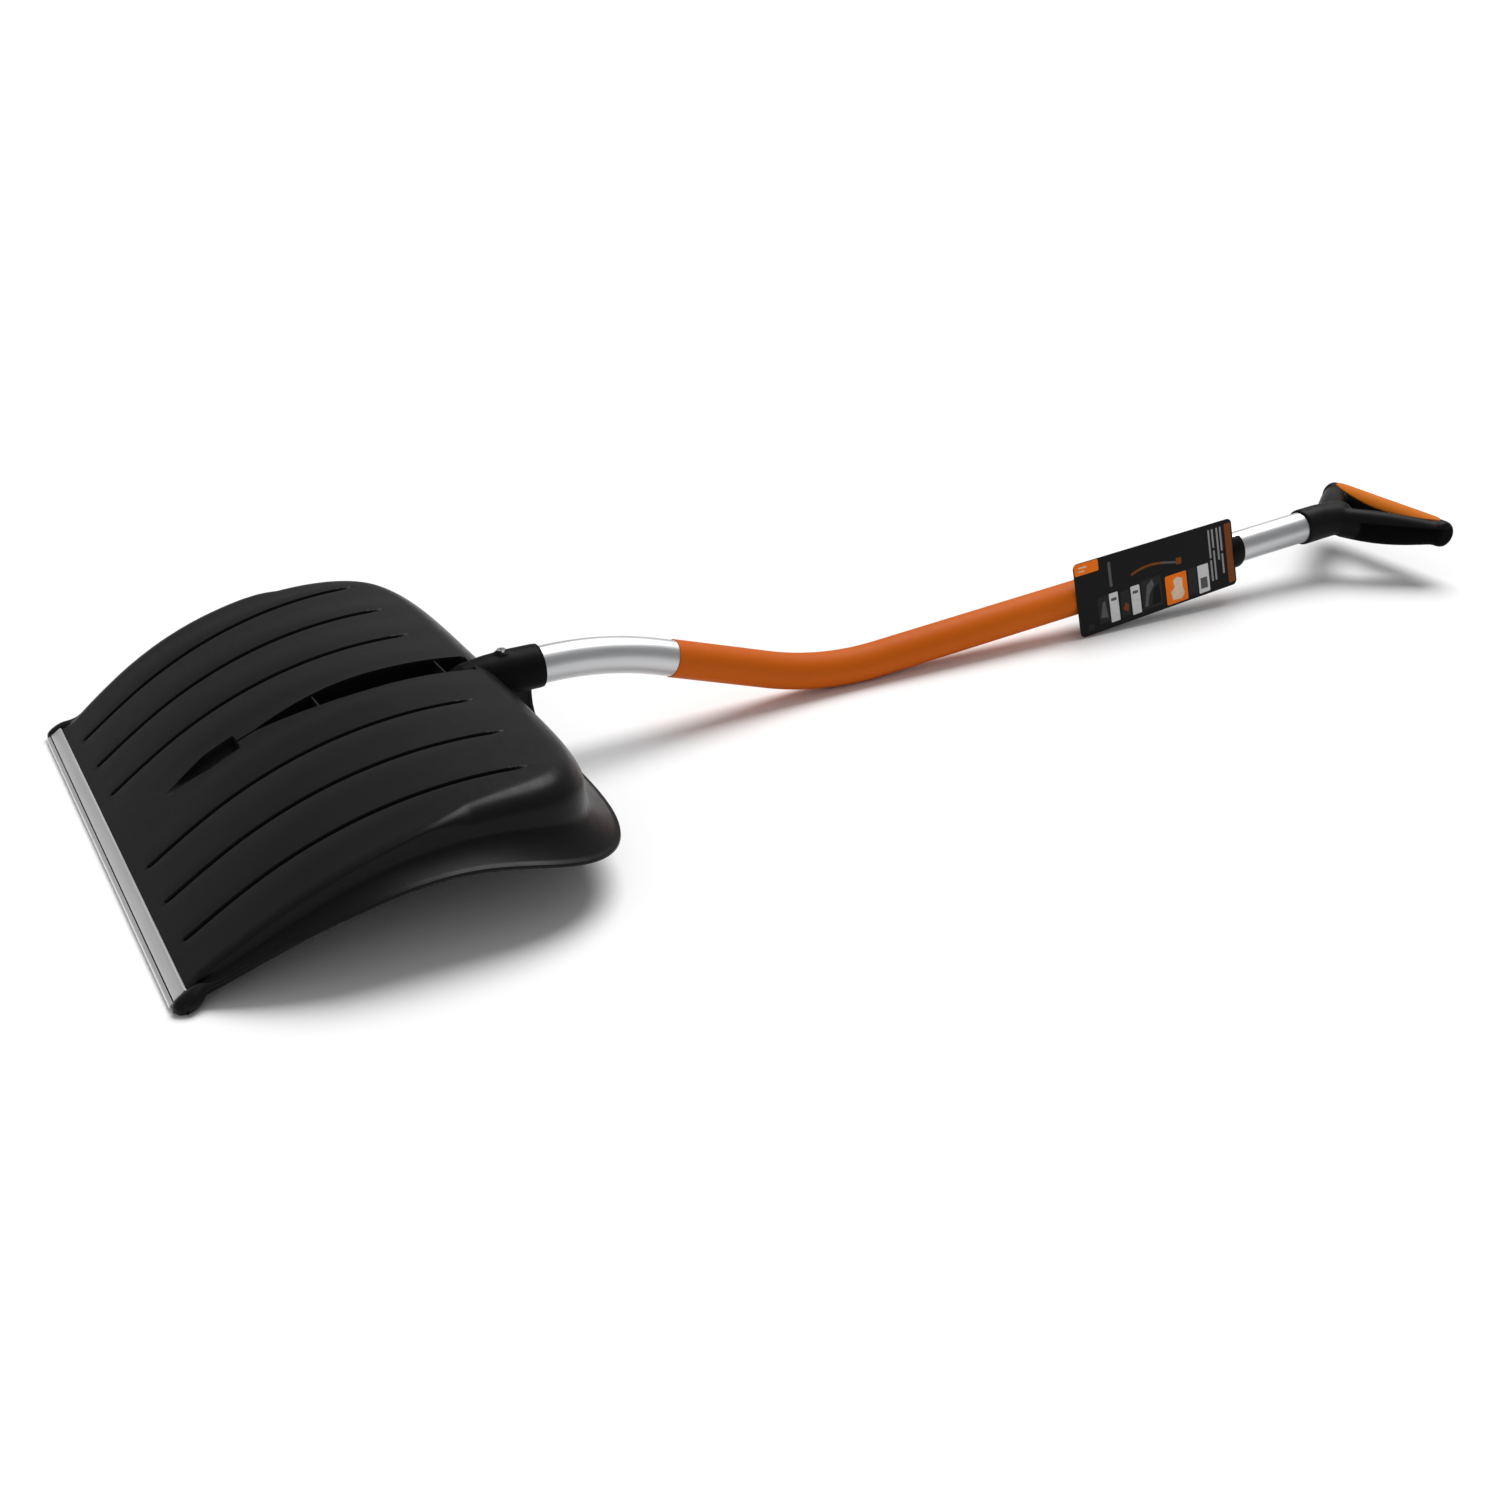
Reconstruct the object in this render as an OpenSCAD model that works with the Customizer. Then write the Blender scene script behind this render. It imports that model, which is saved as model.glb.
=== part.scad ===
// Snow shovel: a moulded blade with a socket, a bent tube shaft and a D grip.
// It lies with the scoop side down. +X runs from the cutting edge to the grip,
// +Y across the blade and +Z up. The origin is on the floor, under the middle.

/* [Blade] */
// Overall width between the ridges of the back
blade_w = 476; // [440:1:500]
// How much narrower each side is at the cutting edge
edge_narrowing = 17; // [10:1:22]
// Distance from the edge line to the rear wall, in plan
blade_l = 291.5; // [280:1:300]
// Slope of the back at the cutting edge, in degrees
edge_slope = 36; // [35:0.5:37]
// Radius of the flatter front stretch of the back
front_r = 725; // [650:5:900]
// Arc length of that front stretch
front_run = 50; // [40:1:60]
// Radius of the rest of the back
back_r = 335; // [325:1:350]
// Wall thickness of the moulding, measured vertically
wall_t = 3; // [2.8:0.1:3.4]
// Fillet between the back and the side walls
side_fillet = 4; // [3.5:0.5:6]
// Fillet between the back and the rear wall
rear_fillet = 52; // [40:1:56]
// Outward lean of the rear wall, across for each unit down
rear_draft = 0.05; // [0:0.05:0.3]
// Outward flare of the side skirt
side_flare = 17.4; // [12:0.2:22]
// Outward flare of the rim at the rear corners
corner_flare = 20; // [18:1:32]
// Outward flare of the rim at the middle of the rear
middle_flare = 20.5; // [10:1:26]
// Height of the arched side rim above the edge line
rim_arch = 42.5; // [36:1:44]

/* [Spine recess] */
// Half width of the long recess in the middle of the back
slot_half_w = 15; // [12:0.5:16]
// Half width of the small pocket in front of it
pocket_half_w = 12; // [9:0.5:14]
// Depth of the small pocket
pocket_depth = 8; // [5:0.5:10]

/* [Wear strip] */
// Length of the aluminium strip
strip_l = 450; // [440:1:456]
// Thickness of each leg of the strip
strip_t = 1.2; // [1:0.1:1.5]

/* [Shaft] */
// Outside diameter of the tube
tube_d = 30; // [28:0.5:32]
// Wall thickness of the tube
tube_t = 1.5; // [1.2:0.1:2]
// Centre line radius of the downward bend behind the blade
bend1_r = 295; // [280:1:310]
// Angle of that bend
bend1_a = 18.2; // [17.8:0.1:18.6]
// Straight stretch between the two bends
mid_run = 106.3; // [104:0.1:108]
// Centre line radius of the upward bend
bend2_r = 290; // [280:1:300]
// Angle of that bend
bend2_a = 22.4; // [22:0.1:22.8]
// Thickness of the coloured sleeve on the tube
sleeve_t = 0.8; // [0.6:0.1:1.2]

/* [Socket] */
// Outside diameter of the socket at its mouth
socket_d = 35.4; // [35:0.1:36]
// Height of the socket axis above the edge line
socket_z = 60.4; // [60:0.1:61]
// Distance from the edge line to the socket mouth
socket_mouth = 326; // [322:1:330]

/* [Card] */
// Length of the card along the shaft
card_l = 185; // [170:1:190]
// Height of the card across the shaft
card_h = 69; // [64:1:74]
// Thickness of the card
card_t = 0.8; // [0.5:0.1:1.2]

/* [Grip] */
// Length of the cross bar from end to end
grip_w = 158; // [150:1:170]
// Distance from the front of the neck to the middle of the cross bar
grip_reach = 117; // [112:1:120]
// How far the cross bar lies below the shaft axis
grip_drop = 14; // [8:1:16]
// Thickness of the cross bar
bar_d = 26; // [22:1:30]

/* [Hidden] */
fine = 64;

// ---- back of the blade, in the centre plane: straight, flat arc, tighter arc
arc1_c = front_r * [sin(edge_slope), -cos(edge_slope)];
arc2_slope = edge_slope - front_run / front_r * 180 / PI;
arc2_start = arc1_c + front_r * [-sin(arc2_slope), cos(arc2_slope)];
arc2_c = arc2_start + back_r * [sin(arc2_slope), -cos(arc2_slope)];

function arc_height(c, r, x) = c[1] + sqrt(r * r - (x - c[0]) * (x - c[0]));
function back_z(x) = x <= 0 ? x * tan(edge_slope)
    : x <= arc2_start[0] ? arc_height(arc1_c, front_r, x) : arc_height(arc2_c, back_r, x);

function unit(t) = min(1, max(0, t));
function ease(t) = let (c = unit(t)) c * c * (3 - 2 * c);
function between(a, b, t) = a + (b - a) * t;

// ---- plan outline of the ridge: bowed sides, then one rounded corner to the middle of the rear
half_w = blade_w / 2;
wide_x = 125;
corner_x = 160;
corner_power = 5;
front_x = -17;
corner_l = blade_l - corner_x;
side_rows = 20;
rear_rows = 24;
last_angle = 88.5;

function side_y(x) = x < 0 ? half_w - edge_narrowing - 0.45 * x
    : x < wide_x ? half_w - edge_narrowing * pow((wide_x - x) / wide_x, 2) : half_w;
side_pts = [for (i = [0 : side_rows]) let (x = between(front_x, corner_x, i / side_rows)) [x, side_y(x)]];
rear_pts = [for (i = [1 : rear_rows]) let (a = last_angle * i / rear_rows)
    [corner_x + corner_l * pow(sin(a), 2 / corner_power), half_w * pow(cos(a), 2 / corner_power)]];
outline = concat(side_pts, rear_pts);
rows = len(outline);

function outward(i) = let (d = outline[min(i + 1, rows - 1)] - outline[max(i - 1, 0)]) [-d[1], d[0]] / norm(d);

// Distance from a point inside the outline to the outline, near enough for the fillets
function inset(x, y) = let (px = max(0, x - corner_x) / corner_l, py = abs(y) / max(1, side_y(x)),
    rho = pow(pow(px, corner_power) + pow(py, corner_power), 1 / corner_power),
    g = [pow(px, corner_power - 1) / corner_l, pow(py, corner_power - 1) / side_y(x)])
    rho < 0.05 ? 999 : (1 - rho) * pow(rho, corner_power - 1) / max(1e-9, norm(g));

function rearness(x) = ease((x - 150) / 110);
function fillet_r(x) = between(side_fillet, rear_fillet, rearness(x));
function fillet_drop(d, r) = d >= r ? 0 : r - sqrt(max(0, r * r - pow(r - max(0, d), 2)));

// ---- rim line, seen from the side: low at the edge, arched, low again at the rear corners
rim_low = -17.5;
rim_rear = 13.75;
rim_top_x = 160;
rim_rise_power = 0.655;
function rim_z(x) = x < rim_top_x
    ? between(rim_low, rim_arch, (1 - cos(180 * pow(unit((x + 20) / 180), rim_rise_power))) / 2)
    : between(rim_arch, rim_rear, pow(sin(90 * unit((x - rim_top_x) / 160)), 2));
function flare(x, n) = between(between(8, side_flare, unit(x / 100)),
    between(corner_flare, middle_flare, n[0] * n[0]), rearness(x));

// ---- recess along the spine: a pocket, a thin crease and a long slot that ends at the socket
pocket_x = [31, 64, 87];
slot_x = [101, 193];
slot_end = 262;
slot_floor = [56, 43];
crease_w = 0.8;
function slot_w(x) = x < pocket_x[0] ? crease_w
    : x < pocket_x[1] ? between(crease_w, pocket_half_w, (x - pocket_x[0]) / (pocket_x[1] - pocket_x[0]))
    : x < pocket_x[2] ? between(pocket_half_w, pocket_half_w * 0.6, (x - pocket_x[1]) / (pocket_x[2] - pocket_x[1]))
    : between(crease_w, slot_half_w, sin(90 * unit((x - slot_x[0]) / (slot_x[1] - slot_x[0]))));
function slot_depth(x) = x < pocket_x[0] ? 0
    : x < pocket_x[2] ? pocket_depth * ease((x - pocket_x[0]) / 25)
    : x < slot_x[0] ? 0.6
    : back_z(x) - between(slot_floor[0], slot_floor[1], unit((x - slot_x[0]) / (slot_end - slot_x[0])));
function recess(x, y, extra) = let (w = slot_w(x) + extra)
    abs(y) >= w ? 0 : slot_depth(x) * (1 - pow(abs(y) / w, 4)) * unit((slot_end + 8 - x) / 6);

// ---- one half of a cross row: columns over the back, then fillet, wall and flared skirt
slot_cols = [0, 0.5, 0.85, 1];
back_cols = 6;
start_a = 45;
fillet_cols = [45, 60, 75, 88];
skirt_cols = [0.35, 0.7, 1];
crease_part = 0.55;
side_draft = 0.1;
lip_w = 2;
function draft(x) = between(side_draft, rear_draft, rearness(x));

function section(r, h, f, k) = let (h1 = max(r + 0.3, crease_part * h), d1 = k * (h1 - r)) concat(
    [for (a = fillet_cols) [-r * (1 - sin(a)), -r * (1 - cos(a))]],
    [[d1, -h1]],
    [for (q = skirt_cols) [between(d1, f, pow(q, 1.4)), -between(h1, h, q)]]);

function half_row(i, t) = let (p = outline[i], n = outward(i), m = [abs(n[0]), abs(n[1])],
    full_h = back_z(p[0]) - rim_z(p[0] + flare(p[0], m) * m[0]),
    r0 = min(fillet_r(p[0]), 0.4 * full_h), r = t > 0 ? max(0.6, r0 - t) : r0,
    h = max(0.8, full_h - t), f = flare(p[0], m) + (t > 0 ? 0 : lip_w),
    d0 = r * (1 - sin(start_a)) + t, xr = p[0] - d0 * m[0], yr = p[1] - d0 * m[1],
    w = min(slot_w(xr) + (t > 0 ? 2.5 : 0), 0.5 * yr))
    concat(
    [for (c = slot_cols) back_point(xr, c * w, t, r)],
    [for (k = [0 : back_cols - 1]) back_point(xr, between(w + min(3, 0.2 * yr), yr, k / back_cols), t, r)],
    [for (s = section(r, h, f, draft(p[0]))) wall_point(p, m, s, t)]);
function back_point(x, y, t, r) = [x, y, back_z(x) - t - fillet_drop(inset(x, y) - t, r)
    - recess(x, y, t > 0 ? 2.5 : 0)];
function wall_point(p, m, s, t) = let (d = s[0] - t, x = p[0] + d * m[0])
    [x, p[1] + d * m[1], (d < 0 ? back_z(x) : back_z(p[0])) - t + s[1]];

function flip(p) = [p[0], -p[1], p[2]];
function full_row(i, t) = let (h = half_row(i, t), n = len(h))
    concat([for (k = [n - 1 : -1 : 1]) flip(h[k])], h);

outer_rows = [for (i = [0 : rows - 1]) full_row(i, 0)];
inner_rows = [for (i = [0 : rows - 1]) full_row(i, wall_t)];
cols = len(outer_rows[0]);

module skin() {
    pts = concat([for (r = outer_rows) each r], [for (r = inner_rows) each r]);
    b = rows * cols;
    mid = (cols - 1) / 2;
    last = (rows - 1) * cols;
    wall_n = len(fillet_cols) + 1 + len(skirt_cols);
    faces = concat(
        [for (i = [0 : rows - 2]) for (j = [0 : cols - 2])
            each quad(i * cols + j, i * cols + j + 1, (i + 1) * cols + j + 1, (i + 1) * cols + j)],
        [for (i = [0 : rows - 2]) for (j = [0 : cols - 2])
            each quad(b + (i + 1) * cols + j, b + (i + 1) * cols + j + 1, b + i * cols + j + 1, b + i * cols + j)],
        [for (j = [0 : cols - 2]) each quad(b + j, b + j + 1, j + 1, j)],
        [for (i = [0 : rows - 2]) each quad(b + i * cols, i * cols, (i + 1) * cols, b + (i + 1) * cols)],
        [for (i = [0 : rows - 2]) let (e = cols - 1)
            each quad(i * cols + e, b + i * cols + e, b + (i + 1) * cols + e, (i + 1) * cols + e)],
        [for (j = [0 : mid - 1]) let (k = cols - 1 - j)
            each (j == mid - 1 ? [[last + j, last + j + 1, last + k]]
            : quad(last + j, last + j + 1, last + k - 1, last + k))],
        [for (j = [0 : mid - 1]) let (k = cols - 1 - j)
            each (j == mid - 1 ? [[b + last + k, b + last + j + 1, b + last + j]]
            : quad(b + last + k, b + last + k - 1, b + last + j + 1, b + last + j))],
        quad(last, last + cols - 1, b + last + cols - 1, b + last));
    polyhedron(pts, faces, convexity = 10);
}
function quad(a, b, c, d) = [[a, b, c], [a, c, d]];

// ---- placing: everything below is drawn from the edge line and moved to the floor here
floor_z = -17.78;
front_end_x = -21.59;
rear_end_x = 1256.7;
module placed() {
    translate([-(front_end_x + rear_end_x) / 2, 0, -floor_z]) children();
}
module along_x(x, z) {
    translate([x, 0, z]) rotate([0, 90, 0]) children();
}

module blade_shell() {
    color([0.07, 0.07, 0.075]) placed() {
        difference() {
            union() {
                skin();
                for (x = [137, 219]) slot_web(x);
            }
            barrel();
        }
    }
}
web_t = 1.6;
module slot_web(x) {
    w = slot_w(x) - 0.5;
    translate([x - web_t / 2, -w, slot_floor[1] + 4]) cube([web_t, 2 * w, back_z(x) - slot_floor[1] - 6]);
}

// ---- socket: a barrel that widens to its mouth, a screw boss and a gusset down to the rear rim
bore_start = 286;
boss_x = 296;
boss_r = 6;
screw_r = 2;
barrel_tip_r = 15;
barrel_cone_l = 40;
module barrel() {
    along_x(slot_end, socket_z) cylinder(r1 = barrel_tip_r, r2 = socket_d / 2, h = barrel_cone_l, $fn = fine);
    along_x(slot_end + barrel_cone_l, socket_z)
        cylinder(d = socket_d, h = socket_mouth - slot_end - barrel_cone_l, $fn = fine);
}
module shaft_socket() {
    color([0.06, 0.06, 0.065]) placed() difference() {
        union() {
            barrel();
            translate([boss_x, 0, socket_z]) cylinder(r = boss_r, h = socket_d / 2 + 0.6, $fn = 32);
            gusset();
        }
        along_x(bore_start, socket_z) cylinder(d = tube_d, h = 80, $fn = fine);
        translate([boss_x, 0, socket_z]) cylinder(r = screw_r, h = socket_d, $fn = 32);
    }
}
// A web that starts as wide as the barrel and narrows to the back and to its foot on the rear rim
gusset_root_x = 282;
gusset_root_t = 28;
gusset_x = 300;
gusset_l = 20;
gusset_t = 8;
module gusset() {
    top = socket_z - 10;
    hull() {
        translate([gusset_root_x, -gusset_root_t / 2, top]) cube([1, gusset_root_t, 1]);
        for (z = [top, rim_rear + 4]) translate([gusset_x, -gusset_t / 2, z]) cube([gusset_l, gusset_t, 1]);
    }
}

// ---- wear strip: a folded strip that holds the edge of the blade in its channel
strip_top_u = 11.3;
nose_r = 2.5;
nose_u = 24.5;
channel_u = 23.2;
channel_t = 2.55;
module wear_strip() {
    low_v = -channel_t - strip_t;
    color([0.8, 0.81, 0.82]) placed() rotate([90, 0, 0]) linear_extrude(strip_l, center = true)
        intersection() {
            rotate(edge_slope) difference() {
                union() {
                    translate([-nose_u, low_v]) square([nose_u - strip_top_u, strip_t * 2 + channel_t]);
                    translate([-nose_u, low_v + nose_r]) circle(nose_r, $fn = 48);
                }
                translate([-channel_u, -channel_t]) square([channel_u, channel_t]);
                translate([-21.3, strip_t + 0.25]) circle(0.6, $fn = 24);
            }
            translate([-60, floor_z]) square([80, 60]);
        }
}

module socket_screw() {
    head_z = socket_z + socket_d / 2 + 0.6;
    color([0.75, 0.75, 0.76]) placed() translate([boss_x, 0, 0]) {
        translate([0, 0, head_z]) difference() {
            cylinder(r = 3.6, h = 1.6, $fn = 48);
            for (a = [0, 90]) rotate(a) translate([-2.2, -0.5, 0.7]) cube([4.4, 1, 1]);
        }
        translate([0, 0, head_z - 12]) cylinder(r = screw_r, h = 12.5, $fn = 32);
    }
}

// ---- shaft: straight in the socket, a bend down, a straight, a bend up and a long straight.
// A station is [x, z, a], where a is the downward slope of the centre line there.
bend1_x = 337.4;
end_slope = bend2_a - bend1_a;
function across(a) = [sin(a), cos(a)];
function bend1_at(a) = [bend1_x, socket_z - bend1_r] + bend1_r * across(a);
bend2_start = bend1_at(bend1_a) + mid_run * [cos(bend1_a), -sin(bend1_a)];
function bend2_at(a) = bend2_start + bend2_r * (across(bend1_a) - across(a));
bend2_end = bend2_at(-end_slope);
neck_x = 1126;
tube_end_x = 1166;
sleeve_skip = 12.5;
sleeve_end_x = 1028;
bend_steps = 8;
sides = 48;
function station(p, a) = [p[0], p[1], a];
function upper_run(x) = (x - bend2_end[0]) / cos(end_slope);
function upper_end(x) = station([x, bend2_end[1] + (x - bend2_end[0]) * tan(end_slope)], -end_slope);
bend1_stations = [for (k = [0 : bend_steps]) let (a = bend1_a * k / bend_steps) station(bend1_at(a), a)];
bend2_stations = [for (k = [0 : bend_steps]) let (a = bend1_a - bend2_a * k / bend_steps)
    station(bend2_at(a), a)];
sleeve_start = bend1_at(bend1_a) + sleeve_skip * [cos(bend1_a), -sin(bend1_a)];

function ring(s, r) = [for (i = [0 : sides - 1]) let (t = 360 * i / sides)
    [s[0] + r * cos(t) * sin(s[2]), r * sin(t), s[1] + r * cos(t) * cos(s[2])]];
module pipe(stations, ro, ri) {
    n = len(stations);
    inner = n * sides;
    pts = concat([for (s = stations) each ring(s, ro)], [for (s = stations) each ring(s, ri)]);
    faces = [for (i = [0 : sides - 1]) let (k = (i + 1) % sides, e = (n - 1) * sides) each concat(
        [for (j = [0 : n - 2]) let (u = j * sides, v = u + sides) each quad(u + i, u + k, v + k, v + i)],
        [for (j = [0 : n - 2]) let (u = inner + j * sides, v = u + sides) each quad(u + i, v + i, v + k, u + k)],
        quad(i, inner + i, inner + k, k),
        quad(e + i, e + k, inner + e + k, inner + e + i))];
    polyhedron(pts, faces, convexity = 10);
}
module shaft_tube() {
    color([0.78, 0.79, 0.8]) placed() difference() {
        pipe(concat([[bore_start, socket_z, 0]], bend1_stations, bend2_stations, [upper_end(tube_end_x)]),
            tube_d / 2, tube_d / 2 - tube_t);
        translate([boss_x, 0, socket_z]) cylinder(r = screw_r, h = tube_d, $fn = 32);
    }
}
module shaft_sleeve() {
    color([0.83, 0.43, 0.12]) placed()
        pipe(concat([station(sleeve_start, bend1_a)], bend2_stations, [upper_end(sleeve_end_x)]),
            tube_d / 2 + sleeve_t, tube_d / 2);
}

// Places children on the upper shaft at x, with local +X up along the shaft
module on_shaft(x) {
    run = upper_run(x);
    translate([bend2_end[0] + run * cos(end_slope), 0, bend2_end[1] + run * sin(end_slope)])
        rotate([0, -end_slope, 0]) children();
}
module ring2d(ro, ri) {
    difference() {
        circle(ro, $fn = fine);
        circle(ri, $fn = fine);
    }
}
// An open clip: the ring is missing on the side away from -Y and -Z
clip_l = 15;
clip_t = 3.5;
module sleeve_clip() {
    r = tube_d / 2 + clip_t;
    color([0.05, 0.05, 0.05]) placed() on_shaft(sleeve_end_x) rotate([90, 0, 90]) linear_extrude(clip_l)
        difference() {
            ring2d(r, tube_d / 2);
            polygon([[0, 0], 2 * r * [cos(-40), sin(-40)], 2 * r * [cos(35), sin(35)],
                2 * r * [cos(115), sin(115)]]);
        }
}

// ---- card: a flat panel that leans on the sleeve, with a wrap glued behind it round the shaft
card_x = 845;
card_taper = 5;
card_lean = 11.7;
card_gap = 0.3;
wrap_l = 150;
module product_card() {
    r = tube_d / 2 + sleeve_t + card_gap;
    color([0.09, 0.09, 0.1]) placed() on_shaft(card_x) rotate([-card_lean, 0, 0]) {
        translate([0, -r - card_t, -card_h / 2]) rounded_slab(card_l, card_h, card_t, 5);
        translate([(card_l - wrap_l) / 2, 0, 0]) rotate([0, 90, 0]) linear_extrude(wrap_l) wrap2d(r);
    }
}
// The wrap in cross section: a half ring behind the shaft and two legs to the panel
module wrap2d(r) {
    intersection() {
        ring2d(r + card_t, r);
        translate([-2 * r, 0]) square([4 * r, 2 * r]);
    }
    for (s = [-1, 1]) translate([s < 0 ? -r - card_t : r, -r]) square([card_t, r]);
}
// A panel with rounded corners, a little lower at its far end
module rounded_slab(l, h, t, r) {
    translate([0, t, 0]) rotate([90, 0, 0]) linear_extrude(t) offset(r = r, $fn = 32)
        polygon([[r, r], [l - r, r + card_taper], [l - r, h - r], [r, h - r]]);
}

// ---- grip: a neck over the tube, two arms that spread to a cross bar, and a soft pad on the bar
neck_r = 17.5;
neck_l = 46;
bar_r = bar_d / 2;
arm_r = bar_r - 0.8;
bar_round = 4;
arm_root = [neck_l, 8, -0.4 * grip_drop];
elbow = [grip_reach - 11, 60, -grip_drop];
arm_rise = 4;
function mirrored(p, s) = [p[0], s * p[1], p[2]];
module ball(p, r) {
    translate(p) sphere(r, $fn = 32);
}
// The cross bar: a cylinder along Y with chamfered ends
module bar() {
    translate([grip_reach, 0, -grip_drop]) rotate([90, 0, 0]) hull() {
        cylinder(r = bar_r, h = grip_w - 2 * bar_round, center = true, $fn = 48);
        cylinder(r = bar_r - bar_round, h = grip_w, center = true, $fn = 48);
    }
}
module grip_body() {
    depth = upper_run(tube_end_x) - upper_run(neck_x);
    color([0.05, 0.05, 0.055]) placed() on_shaft(neck_x) difference() {
        union() {
            hull() {
                rotate([0, 90, 0]) cylinder(r = neck_r, h = 1, $fn = 48);
                ball([neck_l + 5, 0, -1], neck_r - 1.5);
            }
            for (s = [-1, 1]) hull() {
                for (z = [0, arm_rise]) ball(mirrored(arm_root, s) + [0, 0, z], bar_r);
                ball(mirrored(elbow, s), arm_r);
            }
            bar();
        }
        translate([-1, 0, 0]) rotate([0, 90, 0]) cylinder(d = tube_d, h = depth + 1, $fn = fine);
    }
}
pad_half = grip_w / 2 - 9;
pad_reach = bar_r - 0.3;
pad_t = 1;
// A lens-shaped pad on the top of the bar
module grip_pad() {
    color([0.85, 0.45, 0.13]) placed() on_shaft(neck_x) translate([grip_reach, 0, -grip_drop]) intersection() {
        rotate([90, 0, 0]) linear_extrude(2 * pad_half, center = true) ring2d(bar_r + pad_t, bar_r);
        linear_extrude(bar_d) polygon([for (a = [0 : 10 : 350]) [pad_reach * cos(a), pad_half * sin(a)]]);
    }
}

blade_shell();
shaft_socket();
wear_strip();
socket_screw();
shaft_tube();
shaft_sleeve();
sleeve_clip();
product_card();
grip_body();
grip_pad();
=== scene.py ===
# Looks of the snow shovel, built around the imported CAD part. Metres, +Z up, +X towards the grip.
# Shapes are worked out in mm in the construction frame of the CAD; place() turns a point into metres.
import bpy
import bmesh
import math
from mathutils import Matrix, Vector


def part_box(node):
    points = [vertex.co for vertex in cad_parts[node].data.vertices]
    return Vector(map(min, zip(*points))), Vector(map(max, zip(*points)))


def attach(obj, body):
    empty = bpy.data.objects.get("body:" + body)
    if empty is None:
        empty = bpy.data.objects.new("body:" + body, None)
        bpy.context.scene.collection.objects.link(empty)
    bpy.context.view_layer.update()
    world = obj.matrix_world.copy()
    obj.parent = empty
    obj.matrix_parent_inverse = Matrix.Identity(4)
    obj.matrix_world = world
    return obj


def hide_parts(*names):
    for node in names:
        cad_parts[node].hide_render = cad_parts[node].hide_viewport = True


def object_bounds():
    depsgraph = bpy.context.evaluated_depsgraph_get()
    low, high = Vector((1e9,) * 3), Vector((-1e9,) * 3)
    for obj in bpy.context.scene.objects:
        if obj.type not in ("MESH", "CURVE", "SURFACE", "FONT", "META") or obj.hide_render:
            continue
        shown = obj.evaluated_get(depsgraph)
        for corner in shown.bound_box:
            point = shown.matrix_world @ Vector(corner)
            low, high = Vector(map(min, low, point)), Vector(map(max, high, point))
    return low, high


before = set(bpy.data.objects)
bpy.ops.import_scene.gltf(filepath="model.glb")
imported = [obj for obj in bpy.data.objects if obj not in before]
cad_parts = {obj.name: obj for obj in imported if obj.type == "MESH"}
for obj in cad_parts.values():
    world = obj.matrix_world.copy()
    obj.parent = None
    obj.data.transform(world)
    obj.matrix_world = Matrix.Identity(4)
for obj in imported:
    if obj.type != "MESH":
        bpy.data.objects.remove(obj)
cad_bounds = [[float(c) for c in corner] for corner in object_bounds()]

MM = 0.001


def sin(a):
    return math.sin(math.radians(a))


def cos(a):
    return math.cos(math.radians(a))


def tan(a):
    return math.tan(math.radians(a))


# ---------------------------------------------------------------- driving dimensions, in mm, as in the CAD
BLADE_W, EDGE_NARROWING, BLADE_L = 476, 17, 291.5
EDGE_SLOPE, FRONT_R, FRONT_RUN, BACK_R = 36, 725, 50, 335
WALL_T, SIDE_FILLET, REAR_FILLET = 3, 4, 52
SIDE_DRAFT, REAR_DRAFT = 0.1, 0.05
SIDE_FLARE, CORNER_FLARE, MIDDLE_FLARE, LIP_W = 17.4, 20, 20.5, 2
RIM_LOW, RIM_ARCH, RIM_REAR, RIM_TOP_X, RIM_RISE_POWER = -17.5, 42.5, 13.75, 160, 0.655
CORNER_X, CORNER_POWER, WIDE_X, FRONT_X = 160, 5, 125, -17
POCKET_X, POCKET_HALF_W, POCKET_DEPTH = (31, 64, 87), 12, 8
SLOT_X, SLOT_HALF_W, SLOT_END, SLOT_FLOOR = (101, 193), 15, 262, (56, 43)
CREASE_W, CREASE_DEPTH, UNDER_WIDER, RIB_X, RIB_T = 1.3, 1.6, 2.5, (148, 246), 1.6
STRIP_L, STRIP_T, CHANNEL_T, STRIP_TOP_U, NOSE_U, NOSE_R = 450, 1.2, 2.55, 11.3, 24.5, 2.5
FRONT_END_X, FLOOR_Z = -21.59, -17.78
LOBE_X, LOBE_Y, LOBE_Z, LOBE_R, LOBE_NOSE, BEAD_R = (-20.6, 100), 228.9, -10.4, (8.4, 6.2), 13, (2.3, 2.0)
SOCKET_D, SOCKET_Z, SOCKET_MOUTH, BOSS_X = 35.4, 60.4, 326, 296
TUBE_D, TUBE_T, SLEEVE_T = 30, 1.5, 0.8
BEND1_X, BEND1_R, BEND1_A, MID_RUN, BEND2_R, BEND2_A = 337.4, 295, 18.2, 106.3, 290, 22.4
BORE_START, SLEEVE_SKIP, SLEEVE_END_X, NECK_X, TUBE_END_X = 286, 12.5, 1028, 1126, 1166
CARD_X, CARD_L, CARD_H, CARD_T, CARD_LEAN, CARD_TAPER, WRAP_L = 845, 185, 69, 0.8, 11.7, 5, 150
GRIP_W, GRIP_REACH, GRIP_DROP, BAR_D = 158, 117, 14, 26
NECK_R, NECK_L = 17.5, 46

# The construction frame starts at the edge line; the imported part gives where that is.
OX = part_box("wear_strip")[0].x / MM - FRONT_END_X
OZ = cad_bounds[0][2] / MM - FLOOR_Z


def place(p):
    """A point of the construction frame, in mm, as a point of the row frame, in metres."""
    return Vector(((p[0] + OX) * MM, p[1] * MM, (p[2] + OZ) * MM))


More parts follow.
